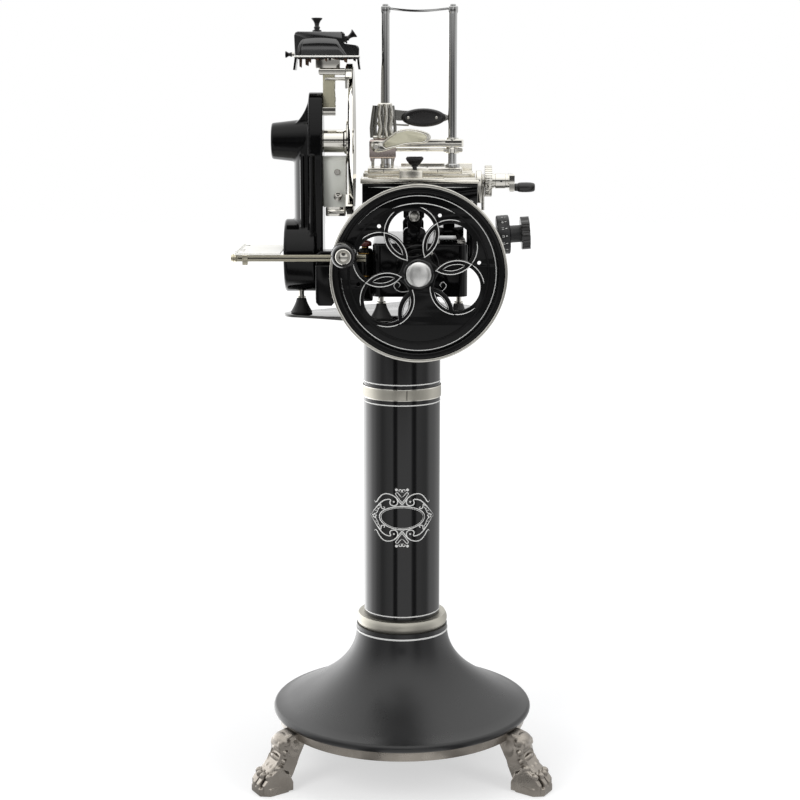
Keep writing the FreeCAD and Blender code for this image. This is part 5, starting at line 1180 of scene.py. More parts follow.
# ---------------------------------------------------------------- knife side
@dataclass
class KnifeSide:
    """Knife, its casting, its shaft and the guard with its two brackets."""

    knife_z: float = 1151.0
    knife_back: float = -92.0
    guard_left: float = -97.3
    arm_right: float = -138.0
    seat_low: float = 1264.5

    def blade(self) -> None:
        """Turns the dished knife, its hub and its locking nut."""
        back, z = self.knife_back, self.knife_z
        profile = [(7, 0), (111.6, 0.0), (112.4, 0.15), (127.8, 7.8), (128, 8.0), (119, 5.35), (110.9, 3.2),
                   (110.2, 3.0), (7, 3.0)]
        disc = lathe(profile, (back, 0, z), RIGHT, 192)
        piece("knife_disc", "blade", CHROME, disc, 20, ("knife",))
        rings = [lathe(rounded_ring(r, r + 1.0, 0, 0.35, 0.15), (back + 2.9, 0, z), RIGHT,
                       128) for r in (46, 104)]
        piece("knife_rings", "blade", GROUND, merge(*rings), 60)
        end, hub = -216.7, -137.7
        shaft = [(0, 0), (13.4, 0), (14, 0.6), (14, hub - end), (19.4, hub - end), (20, hub - end + 0.6)]
        shaft += [(r, x - end) for r, x in (
            (20, -103.0), (22.5, -100.5), (22.5, -97.4), (39.2, -97), (40, -96.2), (40, -92), (6.95, -92),
            (6.95, -89), (21, -89), (22, -88), (22, -85), (20.8, -84), (0, -84))]
        piece("knife_hub", "blade", CHROME, lathe(shaft, (end, 0, z), RIGHT), 30, ("knife_shaft",))
        pins = [lathe([(0, 0), (2.1, 0), (2.1, 0.9), (1.6, 1.4), (0, 1.5)],
                      (back + 2.9, 33 * math.sin(a), z + 33 * math.cos(a)), RIGHT, 20)
                for a in (math.radians(60 * k) for k in range(6))]
        piece("knife_screws", "blade", GROUND, merge(*pins), 35)

    def guard(self) -> None:
        """Turns the open guard ring and its bright lips."""
        inner, wall = 130.0, 3.5
        loop = [(inner - 20, 0.4), (inner - 19.6, 0), (inner + wall - 1, 0), (inner + wall, 1),
                (inner + wall, 11), (inner + wall - 1, 12),
                (inner + 1, 12), (inner, 11), (inner, 4.6), (inner - 0.6, 4), (inner - 19.6, 4),
                (inner - 20, 3.6)]
        ring = lathe(loop, (self.guard_left, 0, self.knife_z), RIGHT, 160, -35.0, 215.0)
        piece("guard_hoop", STAND, CHROME, ring, 30, ("guard_ring",))

    def brackets(self) -> None:
        """Shapes the grey lower bracket, and the beige upper one with its seat, bored for the guide pin."""
        side = [(34, 1105), (32.5, 1118), (26, 1124), (20, 1125)]
        plate = prism([(-26.6, 1037), (26.6, 1037)] + side + [(-y, z) for y, z in reversed(side)], Plane.YZ,
                      self.arm_right + 0.2, -97.4, 1.6, 3)
        piece("lower_bracket", STAND, GREY, plate, 35, ("guard_bracket_lower",))
        slide = prism([(-26, 1021.2), (26, 1021.2), (26, 1037), (-26, 1037)], Plane.YZ, -134, -99, 2.0, 3)
        bar = lathe(rounded_rod(4.2, 30.0, 0.8), (-131.0, -23.8, 1029), RIGHT, 40)
        piece("lower_slide", STAND, CHROME, merge(slide, bar), 35)
        heads = []
        for x, z in ((-113.0, 1057.0), (-113.0, 1098.0)):
            face = -26.0 - 8.0 * (z - 1021.0) / 84.0
            heads.append(lathe([(0, -0.6), (5.2, -0.6), (5.2, 1.8), (4.4, 2.7), (1.6, 2.7), (1.4, 1.6),
                                (0, 1.6)],
                               (x, face, z), FRONT, 32))
        piece("bracket_screws", STAND, GROUND, merge(*heads), 35)
        studs = [lathe(rounded_rod(r, h, 0.6), (-112.0 + x, y, 1056.0), FRONT, 40)
                 for x, y, r, h in ((0, -33.4, 7.5, 8.0), (0, -41.0, 4.5, 5.0))]
        piece("guard_stud", STAND, CHROME, merge(*studs), 35)
        right = self.arm_right
        post = prism([(right + out, z) for out, z in (
            (0.2, 1209), (21.5, 1209), (21.8, 1213), (19.4, 1216), (21.6, 1219), (21.8, 1226), (19.6, 1230),
            (19.2, 1236), (21.0, 1241), (21.2, 1252), (20.6, 1261.4), (0.2, 1261.4))],
            Plane.XZ, -13.8, 13.8, 1.4, 3)
        bore = circle((GUIDE_X, 0), 3.7, 32)
        collar = fret([[(right + 0.2, -13.8), (right + 20.6, -13.8), (right + 20.6, 13.8),
                        (right + 0.2, 13.8)], bore],
                      1261.4, 1264.6, 0.2, Plane.XY)
        piece("guard_post", STAND, BEIGE, merge(post, collar), 35, ("guard_bracket_upper",))
        foot = prism([(right + 0.2, -14), (right + 22, -14), (right + 22, 14), (right + 0.2, 14)], Plane.XY,
                     1195, 1209.4, 1.4, 3)
        seat = fret([[(-145, -16.8), (-97.4, -16.8), (-97.4, 16.8), (-145, 16.8)], bore], self.seat_low,
                    self.seat_low + 11.9, 4.0, Plane.XY, 4)
        stem = fret([[(-144, -9), (-114, -9), (-114, 9), (-144, 9)], bore], 1276.3, 1288.4, 0.3, Plane.XY)
        bars = [lathe(rounded_rod(3.0, 40.0, 0.6), (-134.0, y, 1258.0), RIGHT, 32) for y in (-14.0, 14.0)]
        piece("guard_seat", STAND, CHROME, merge(foot, seat, stem, *bars), 35)

    def build(self) -> None:
        """Builds the knife side."""
        cast("blade_frame", ENAMEL_CAST, 1.5, 7)
        eased("cross_shaft", GROUND, 0.4)
        self.blade()
        self.guard()
        self.brackets()


# ---------------------------------------------------------------- sharpener
@dataclass
class Sharpener:
    """Domed cover with its knobs, its two stones and the slide."""

    left: float = -186.0
    right: float = -74.0
    low: float = 1296.0
    high: float = 1338.0
    half: float = 31.0
    slant: float = 35.0

    def cover(self) -> None:
        """Shapes the domed shell with its bulged front, its bright rim and the skirts at both ends."""
        left, right, low, high = self.left, self.right, self.low, self.high
        dome = [(left, low - 12), (right, low - 12)] + arc((right - 6, low + 13), 6, 0, 90, 6)
        dome += [(right - 26, low + 19.2)]
        dome += rounded([(right - 27.6, low + 22), (right - 25.4, low + 28), (right - 24, low + 35),
                         (right - 26.6, high - 1.6), (right - 32, high)], 4)
        dome += arc((left + 6, high - 6), 6, 90, 180, 7)
        made = self.half_shell(dome, low, 0.0, 6.0)
        inside = self.half_shell(dome, low, 2.6, 4.0)
        made = merge(made, inside)
        bmesh.ops.bridge_loops(made, edges=[rim for rim in made.edges if rim.is_boundary])
        piece("sharpener_dome", "sharpener", ENAMEL_COVER, merge(made, self.bulge()), 40,
              ("sharpener_cover",))
        strips = []
        for bottom, top, out in ((low - 1.4, low + 1.4, 0.6), (low - 3.6, low - 1.4, 0.0)):
            outer = [(left + 0.1, -self.half - out), (right + out, -self.half - out),
                     (right + out, self.half + out), (left + 0.1, self.half + out)]
            inner = [(left + 3, -self.half + 3), (right - 3, -self.half + 3), (right - 3, self.half - 3),
                     (left + 3, self.half - 3)]
            strips.append(fret([outer, inner], bottom, top, 0.5, Plane.XY))
        piece("sharpener_rim", "sharpener", TRAY, strips[0], 35)
        piece("sharpener_lip", "sharpener", ENAMEL_CAST, strips[1], 35)
        skirts = ([(left + 0.4, low - 2), (left + 4.0, low - 2), (left + 2.0, low - 14),
                   (left + 1.0, low - 23), (left - 2.6, low - 23), (left - 1.0, low - 13)],
                  [(right - 4.0, low - 2), (right - 0.4, low - 2), (right + 0.4, low - 12),
                   (right + 1.8, low - 22), (right - 1.6, low - 22), (right - 3.0, low - 12)])
        flaps = [prism(skirt, Plane.XZ, -self.half + 3, self.half - 3, 0.6) for skirt in skirts]
        piece("sharpener_skirts", "sharpener", ENAMEL_CAST, merge(*flaps), 35)

    def bulge(self) -> bmesh.types.BMesh:
        """Swells the cover's front: steep at its top, then easing back towards the rim.

        Returns:
            The closed mesh of the swelling alone.
        """
        made = bmesh.new()
        across, down = 30, 16
        rows = []
        for depth in (False, True):
            for j in range(down + 1):
                v = j / down
                first, last = self.left + 5 + 9 * (1 - v) ** 3, self.left + 74 + 18 * v ** 1.1
                row = []
                for i in range(across + 1):
                    u = i / across
                    side = math.sqrt(max(0.0, 1 - (1 - min(1.0, min(u / 0.10, (1 - u) / 0.08))) ** 2))
                    rise = math.sin(math.pi / 2 * min(v / 0.42, 1.0))
                    swell = rise * (1 - 0.4 * max(0.0, (v - 0.42) / 0.58) ** 2)
                    y = -self.half + 6.0 if depth else -self.half + 3.4 - 3.2 * side * swell
                    z = self.low + 1.2 + (1 - v) * (27.5 + 3.6 * math.sin(math.pi * (u + 0.12) / 1.24))
                    row.append(made.verts.new((first + (last - first) * u, y, z)))
                rows.append(row)
        front, back = rows[:down + 1], rows[down + 1:]
        for sheet in (front, back):
            for low, high in zip(sheet, sheet[1:]):
                for i in range(across):
                    made.faces.new((low[i], low[i + 1], high[i + 1], high[i]))
        for i in range(across):
            for row_a, row_b in ((front[0], back[0]), (front[-1], back[-1])):
                made.faces.new((row_a[i], row_a[i + 1], row_b[i + 1], row_b[i]))
        for j in range(down):
            for k in (0, -1):
                made.faces.new((front[j][k], front[j + 1][k], back[j + 1][k], back[j][k]))
        return made

    def half_shell(self, dome: list[Pair], low: float, wall: float, edge: float) -> bmesh.types.BMesh:
        """One skin of the cover, open below.

        Args:
            dome: the outline, which runs below the opening.
            low: height of the opening.
            wall: how far the skin lies inside the outline.
            edge: radius of its rims.

        Returns:
            The open mesh.
        """
        middle, wide, tall = (self.left + self.right) / 2, self.right - self.left, self.high - low
        line = [(middle + (x - middle) * (1 - 2 * wall / wide),
                 low + (z - low) * (1 - wall / tall)) for x, z in dome]
        skin = prism(line, Plane.XZ, -self.half + 3 + wall, self.half - wall, edge, 6)
        bmesh.ops.bisect_plane(skin, geom=skin.verts[:] + skin.edges[:] + skin.faces[:], dist=0.001,
                               plane_co=(0, 0, low), plane_no=(0, 0, -1), clear_outer=True)
        return skin

    def knobs(self) -> None:
        """Turns the three waisted knobs, their spindles and the left grinding stone."""
        trumpet = [(0, 0), (7.8, 0), (8.2, 0.6), (8.2, 2.4), (7.4, 3.2), (4.8, 4.0), (4.6, 5.2), (5.6, 6.0),
                   (5.6, 8.2), (4.4, 9.2),
                   (4.0, 11.0), (4.6, 14.4), (6.6, 18.4), (9.0, 21.0), (9.9, 22.2), (9.8, 23.5), (9.0, 23.9),
                   (0, 23.9)]
        slim = [(r * 0.8, h * 0.95) for r, h in trumpet]
        shank = [(0, -11.9), (3.4, -11.9), (3.4, 0.2), (0, 0.2)]
        spot = (-148.0, 0, self.high + 0.3)
        piece("top_knob", "sharpener_screw", RESIN, lathe(trumpet, spot, segments=64), 40,
              ("sharpener_knob",))
        piece("top_knob_shank", "sharpener_screw", GROUND, lathe(shank, spot, segments=32), 35)
        a = math.radians(self.slant)
        x0, z0 = self.right - 62.0, self.low + 3.0
        axis = (math.cos(a), 0, math.sin(a))
        place = (x0 + 43 * math.cos(a), 0, z0 + 43 * math.sin(a))
        piece("slanted_knob", "stone_right", RESIN, lathe(slim, place, axis, 64), 40,
              ("right_plunger",))
        rod = lathe([(0, -36.9), (3.4, -36.9), (3.4, 0.2), (0, 0.2)], place, axis, 32)
        piece("slanted_spindle", "stone_right", GROUND, rod, 35)
        y, z = 9.0, self.low + 4.0
        stone = lathe(rounded_rod(10.0, 8.0, 0.8), (-107.7, y, z), RIGHT, 64)
        piece("grinding_stone", "stone_left", STONE, stone, 35, ("left_stone",))
        rod = lathe(rounded_rod(3.5, 85.0, 0.4), (-192.6, y, z), RIGHT, 32)
        piece("level_spindle", "stone_left", GROUND, rod, 35)
        small = [(0, 0), (3.9, 0), (4.2, 1.6), (3.0, 4.2), (3.4, 6.4), (5.6, 9.6), (6.0, 10.6), (5.6, 11.6),
                 (0, 11.7)]
        piece("level_knob", "stone_left", RESIN, lathe(small, (-192.3, y, z), LEFT, 48), 40)

    def stones(self) -> None:
        """Sets the brown stones and felts under the cover, and the slide with its guide pin."""
        eased("sharpener_block", CHROME, 0.5)
        pin = lathe(rounded_rod(3.5, 27.4, 0.4), (GUIDE_X, 0, 1261.8), segments=32)
        piece("guide_pin", "sharpener", GROUND, pin, 35)
        pads = []
        for x, wide, deep, y in ((-179.0, 5.5, 19.0, -6.0), (-169.0, 7.0, 16.0, 4.0),
                                 (-162.0, 5.0, 11.0, -12.0),
                                 (-152.0, 9.0, 7.0, -22.0), (-134.0, 5.0, 9.0, -22.0),
                                 (-121.0, 11.0, 6.0, -22.0),
                                 (-101.0, 7.0, 11.0, -20.0), (-86.0, 6.0, 8.0, 12.0)):
            pads.append(prism([(x, self.low + 2), (x + wide, self.low + 2), (x + wide - 1.2, self.low - deep),
                               (x + 0.8, self.low - deep + 2)], Plane.XZ, y - 6, y + 6, 0.8))
        felt = [prism([(x, self.low - 0.5), (x + w, self.low - 0.5), (x + w - 1, self.low - d),
                       (x + 1, self.low - d)], Plane.XZ, -27, -19, 0.8)
                for x, w, d in ((-158.0, 5.0, 5.0), (-142.0, 7.0, 5.5), (-128.0, 6.0, 7.0),
                                (-109.0, 6.0, 6.0), (-93.0, 5.0, 5.0))]
        piece("felt_pads", "sharpener", RUBBER, merge(*felt), 35)
        piece("stone_pads", "sharpener", STONE, merge(*pads), 35)

    def build(self) -> None:
        """Builds the sharpener."""
        self.cover()
        self.knobs()
        self.stones()


# ---------------------------------------------------------------- flywheel
@dataclass
class Flywheel:
    """Pierced flywheel with its handle."""

    x: float = 27.0
    z: float = 941.0
    radius: float = 146.0
    skin: float = 4.5
    black: float = 10.0
    front: float = -243.0
    back: float = -215.0
    web: float = 10.0
    turn: float = -10.0
    count: int = 6
    solid: int = 3
    place: float = 67.5
    petal: float = 38.5
    leaf: float = 46.0
    band: float = 8.6
    drop_place: float = 101.0
    drop: float = 3.2
    hub: float = 25.0
    handle: Point = (-93.7486, 0.0, 976.9967)

    def centre(self, index: float) -> Pair:
        """Middle of one petal."""
        angle = math.radians(90.0 - self.turn - index * 360.0 / self.count)
        return self.x + self.place * math.cos(angle), self.z + self.place * math.sin(angle)

    def lens(self, index: int, radius: float) -> list[Pair]:
        """Outline of a leaf, where the circles around two petals cross.

        Args:
            index: the petal before the leaf.
            radius: radius of both circles.

        Returns:
            The outline, from one point of the leaf to the other and back.
        """
        first, second = self.centre(index), self.centre(index + 1)
        apart, towards = bearing(first, second)
        half = math.degrees(math.acos(apart / 2 / radius))
        line = arc(first, radius, towards - half, towards + half, 20)[:-1]
        return line + arc(second, radius, towards + 180 - half, towards + 180 + half, 20)[:-1]

    def opening(self, index: int) -> list[Pair]:
        """Outline of a petal's opening between its two leaves.

        Args:
            index: the petal.

        Returns:
            The outline, in four arcs.
        """
        here = self.centre(index)
        line = []
        for step in (1, -1):
            other = self.centre(index + step)
            apart, towards = bearing(here, other)
            near, far = crossing(apart, self.petal, self.leaf), crossing(apart, self.leaf, self.petal)
            line.append((other, towards, near, far))
        (right, to_right, near, far), (left, to_left, _, _) = line
        outline = arc(right, self.leaf, to_right + 180 + far, to_right + 180 - far, 14)[:-1]
        sweep = (to_left - to_right) % 360 - 2 * near
        outline += arc(here, self.petal, to_right + near, to_right + near + sweep, 24)[:-1]
        outline += arc(left, self.leaf, to_left + 180 + far, to_left + 180 - far, 14)[:-1]
        sweep = (to_right - to_left) % 360 - 2 * near
        outline += arc(here, self.petal, to_left + near, to_left + near + sweep, 24)[:-1]
        return outline

    def wheel(self) -> None:
        """Makes the rim, the pierced web, the leaves and the hub."""
        middle = (self.front + self.back) / 2
        low, high = middle - self.web / 2, middle + self.web / 2
        outer = self.radius - self.skin
        hub = (self.x, self.z)
        outlines = [circle(hub, outer - self.black + 2, 160)]
        outlines += [self.opening(i) for i in range(self.count) if i != self.solid]
        outlines += [self.lens(i, self.leaf - self.band) for i in range(self.count)]
        for i in range(self.count):
            if i in (self.solid - 1, self.solid):
                continue
            angle = math.radians(90.0 - self.turn - (i + 0.5) * 360.0 / self.count)
            spot = (self.x + self.drop_place * math.cos(angle), self.z + self.drop_place * math.sin(angle))
            outlines.append(circle(spot, self.drop, 24))
        web = fret(outlines, low, high, 1.4, steps=3)
        piece("wheel_web", "wheel", ENAMEL_CAST, web, 35, ("flywheel",))
        leaves = [fret([self.lens(i, self.leaf - 0.3), self.lens(i, self.leaf - self.band - 0.3)], low - 3,
                       low + 2,
                       1.9, steps=3) for i in range(self.count)]
        piece("wheel_leaves", "wheel", ENAMEL_CAST, merge(*leaves), 40)
        axis, spot = FRONT, (self.x, self.back, self.z)
        depth = self.back - self.front
        rim = lathe(rounded_ring(outer - self.black, outer, 0.2, depth, 2.2), spot, axis, 192)
        piece("wheel_rim_black", "wheel", ENAMEL_CAST, rim, 40)
        band = lathe(rounded_ring(outer + 0.02, self.radius, 0.0, depth + 1.0, 0.8), spot, axis, 192)
        piece("wheel_band", "wheel", CHROME, band, 40, ("flywheel_rim",))
        relief = lathe(rounded_ring(113.0, 117.0, 0.0, 2.2, 1.0), (self.x, low, self.z), axis, 160)
        piece("wheel_relief", "wheel", ENAMEL_CAST, relief, 60)
        boss = lathe(rounded_ring(12.02, self.hub, 0.0, 36.0, 3.0), (self.x, middle + 18, self.z), axis)
        piece("wheel_hub", "wheel", ENAMEL, boss, 40)

    def lining(self) -> None:
        """Paints the silver lines round the rim, round each petal and on the leaves, and a silver arc on the
        relief ring that is a painted highlight of its edge.
        """
        middle = (self.front + self.back) / 2
        face, raised = middle - self.web / 2, middle - self.web / 2 - 3.0
        hub = (self.x, self.z)
        lines = [stripe(arc(hub, 127.5, 183, 501, 160), 1.4, face - 0.02),
                 # The arc on the relief ring at 115 mm is a painted highlight of the ring's edge, not a
                 # painted line.
                 stripe(arc(hub, 115.0, 59, 112, 60), 1.3, face - 2.18)]
        for i in range(self.count):
            outline = self.lens(i, self.leaf - self.band + 1.2)
            half = len(outline) // 2
            lines.append(stripe(outline[:half + 1], 0.9, raised - 0.02))
            lines.append(stripe(outline[half:] + outline[:1], 0.9, raised - 0.02))
            if i == self.solid:
                continue
            here = self.centre(i)
            _, out = bearing(hub, here)
            for side in (-1, 1):
                lines += self.petal_line(i, here, out, side, face, raised)
        piece("wheel_lining_and_highlight", "wheel", LINING_AND_HIGHLIGHT, merge(*lines), 60)

    def petal_line(self, index: int, here: Pair, out: float, side: int, face: float,
                   raised: float) -> list[bmesh.types.BMesh]:
        """Paints one half of the line round a petal, on the web and then on the raised leaf.

        Args:
            index: the petal.
            here: its middle.
            out: the direction from the hub through it, in degrees.
            side: 1 to the left of that direction, -1 to the right.
            face: the web's front.
            raised: the leaf's front.

        Returns:
            The painted parts.
        """
        reach = self.leaf - 1.4
        other = self.centre(index - side)
        apart, towards = bearing(here, other)
        half = crossing(apart, reach, self.leaf)
        meets = (side * (towards - out)) % 360.0
        begin, first, last = 28.0, meets - half, meets + half
        parts = []
        if first > begin + 4:
            parts.append(stripe(arc(here, reach, out + side * begin, out + side * first, 24), 1.25,
                                face - 0.02))
        parts.append(stripe(arc(here, reach, out + side * first, out + side * last, 24), 1.25, raised - 0.02,
                            taper=False))
        return parts

    def turning(self) -> None:
        """Turns the shaft with its domed end, the spindle with its button, and the grip."""
        dome = [(20.6 * math.cos(math.radians(a)),
                 3.2 + 4.8 * math.sin(math.radians(a))) for a in range(0, 91, 10)]
        profile = [(0, 0), (26, 0), (26, 12), (12, 12), (12, 231.1), (20.2, 231.1), (20.6, 231.6)]
        profile += [(r, 231.1 + z) for r, z in dome]
        shaft = lathe(profile[:-1] + [(0, 239.1)], (self.x, -15.9, self.z), FRONT)
        piece("shaft_cap", "wheel", SATIN, shaft, 30, ("flywheel_shaft",))
        x, _, z = self.handle
        spot = (x, -224.0, z)
        spindle = [(0, 0), (5, 0), (5, 19), (14.4, 19), (15, 19.6), (15, 23.4), (14.4, 24), (5, 24),
                   (5, 100.6), (11.2, 100.6),
                   (12.5, 101.6), (12.5, 103.4), (11.6, 104.6), (8.6, 104.6), (8.2, 104.0), (7.4, 104.0),
                   (7.0, 105.0), (3.0, 105.6), (0, 105.6)]
        piece("handle_button", "wheel", CHROME, lathe(spindle, spot, FRONT), 30,
              ("handle_spindle",))
        belly = rounded([(13.0, 0), (13.0, 5.5), (17.6, 8.0), (19.4, 22), (20.4, 44), (20.2, 62), (18.8, 71),
                         (16.6, 75.2)], 4)
        rings = [(15.8, 75.9), (14.4, 75.9), (14.0, 75.3), (13.4, 75.3), (13.0, 75.9), (9.2, 75.9),
                 (5.05, 75.9), (5.05, 0)]
        grip = lathe(belly + rings, (x, -248.3, z), FRONT)
        piece("handle_grip_turned", "wheel_grip", RESIN, grip, 30, ("handle_grip",))

    def build(self) -> None:
        """Builds the flywheel."""
        self.wheel()
        self.lining()
        self.turning()


# ---------------------------------------------------------------- carriage and meat table
@dataclass
class Carriage:
    """Carriage with its deck and slides, and the meat table that it carries."""

    deck_top: float = 1090.0
    left: float = -71.0
    right: float = 131.0
    front: float = -113.0
    back: float = 173.0

    def screws(self) -> None:
        """Sets the screws of the deck and draws the joints in the edge of the table."""
        heads = []
        for x, y, z in ((self.left + 9, self.front + 12, self.deck_top), (60, self.front + 12, self.deck_top),
                        (self.left + 9, self.back - 12, self.deck_top), (60, self.back - 12, self.deck_top),
                        (self.right - 12, self.back - 12, self.deck_top - 3)):
            heads.append(lathe([(0, -0.5), (3.6, -0.5), (3.6, 0.25), (3.2, 0.45), (0.5, 0.45), (0.4, 0.2),
                                (0, 0.2)],
                               (x, y, z), segments=24))
        piece("deck_screws", "carriage", GROUND, merge(*heads), 35)
        marks = [prism([(x, -25.05), (x + 0.9, -25.05), (x + 0.9, -24.2), (x, -24.2)], Plane.XY, 1096.4,
                       1103.2)
                 for x in (-33.0, 15.0, 62.0)]
        piece("table_joints", "table", MATT_RESIN_AND_SHADE, merge(*marks), 35)

    def lining(self) -> None:
        """Paints the line along the carriage's front face."""
        y = -110.02
        lines = [stripe([(-58 + 176 * i / 30, height) for i in range(31)], width, y)
                 for height, width in ((1041.0, 1.2), (1075.5, 1.0))]
        for side in (-1, 1):
            curl = [(30 + side * out, z)
                    for out, z in ((88, 1041), (91, 1050), (84, 1054), (82, 1048), (86, 1047))]
            lines.append(stripe(rounded(curl, 5), 1.1, y))
        piece("carriage_lining", "carriage", LINING_AND_HIGHLIGHT, merge(*lines), 60)

    def build(self) -> None:
        """Builds the carriage and the table."""
        for name in ("carriage_frame", "bar_sleeve", "guide_shoe"):
            eased(name, ENAMEL_CAST, 1.2)
        eased("carriage_deck", SHEET, 0.7, 3)
        eased("table_ways", SHEET, 0.7, 3)
        eased("meat_table", SHEET, 0.8, 3)
        self.screws()
        self.lining()


# ---------------------------------------------------------------- feed of the table
@dataclass
class Feed:
    """Feed screw with its index disc, hub, crank and grip, and the lever of its pawl."""

    y: float = -60.0
    z: float = 1084.0
    hub_left: float = 154.6
    arm_left: float = 182.6
    grip_left: float = 191.9
    grip_y: float = -96.0
    grip_z: float = 1075.0

    def screw(self) -> None:
        """Turns the threaded spindle, its stepped hub, the crank's arm and its pin."""
        thread = [(0, -45.0), (5.4, -45.0), (6.0, -44.2)]
        for i in range(22):
            at = -43.0 + i * 5.0
            thread += [(6.0, at), (4.9, at + 0.9), (4.9, at + 1.6), (6.0, at + 2.5)]
        thread += [(6.0, self.hub_left), (6.0, self.arm_left + 1), (0, self.arm_left + 1)]
        spindle = lathe(thread, (0, self.y, self.z), RIGHT, 40)
        piece("feed_spindle", "screw", GROUND, spindle, 35, ("feed_screw",))
        length = self.arm_left - self.hub_left
        hub = [(0, 0.05), (12.4, 0.05), (13, 0.6), (13, 3.4), (11.4, 4.0), (11.4, 6.0), (13, 6.6),
               (13, length - 4.6), (12.2, length - 4.0), (12.2, length), (0, length)]
        arm = prism([(self.arm_left, self.grip_y - 9), (self.arm_left + 9, self.grip_y - 9),
                     (self.arm_left + 9, self.y + 9), (self.arm_left + 5, self.y + 13),
                     (self.arm_left, self.y + 13)],
                    Plane.XY, self.z - 16, self.z + 13, 2.4, 3)
        pin = lathe(rounded_rod(3.0, 31.0, 0.4), (self.arm_left + 9, self.grip_y, self.grip_z), RIGHT, 24)
        dot = lathe([(0, 0), (1.8, 0), (1.8, 0.3), (0, 0.3)], (self.hub_left + 16, self.y - 12.9, self.z),
                    FRONT, 16)
        piece("feed_hub", "screw", CHROME,
              merge(lathe(hub, (self.hub_left, self.y, self.z), RIGHT, 64), arm, pin), 35)
        piece("feed_hub_mark", "screw", MATT_RESIN_AND_SHADE, dot, 35)

    def build(self) -> None:
        """Builds the feed."""
        eased("feed_bracket", CHROME, 1.0, 3)
        self.screw()
        eased("ratchet_disc", CHROME, 0.3)
        eased("pawl_lever", GROUND, 0.6)
        grip = rounded([(6.0, 0.3), (6.5, 2.0), (6.7, 5.4), (8.0, 8.0), (8.5, 16.0), (8.3, 27.0), (7.0, 33.0),
                        (5.2, 34.8)], 3)
        made = lathe([(3.05, 0.0), (5.4, 0.0)] + grip + [(0, 35.0), (0, 32.0), (3.05, 32.0)],
                     (self.grip_left, self.grip_y, self.grip_z), RIGHT, 56)
        piece("crank_grip_turned", "screw_grip", RESIN, made, 35, ("crank_grip",))
        wing = prism([(14, 1110),
                      (30, 1110)] + rounded([(36.5, 1119), (37.3, 1122), (35, 1124.8), (30, 1125)], 3)
                     + [(14, 1125)] + rounded([(9, 1124.8), (6.7, 1122), (7.5, 1119), (14, 1110)], 3)[:-1],
                     Plane.XZ, -37.8, -30.2, 2.6, 3)
        bolt = lathe([(0, 1102.4), (3.9, 1102.4), (3.9, 1107), (6.2, 1107.4), (6.2, 1109.6), (4, 1110.4),
                      (0, 1110.4)],
                     (22, -34, 0), segments=40)
        piece("wing_knob", "nut_lock", RESIN, merge(wing, bolt), 35, ("thumb_knob",))


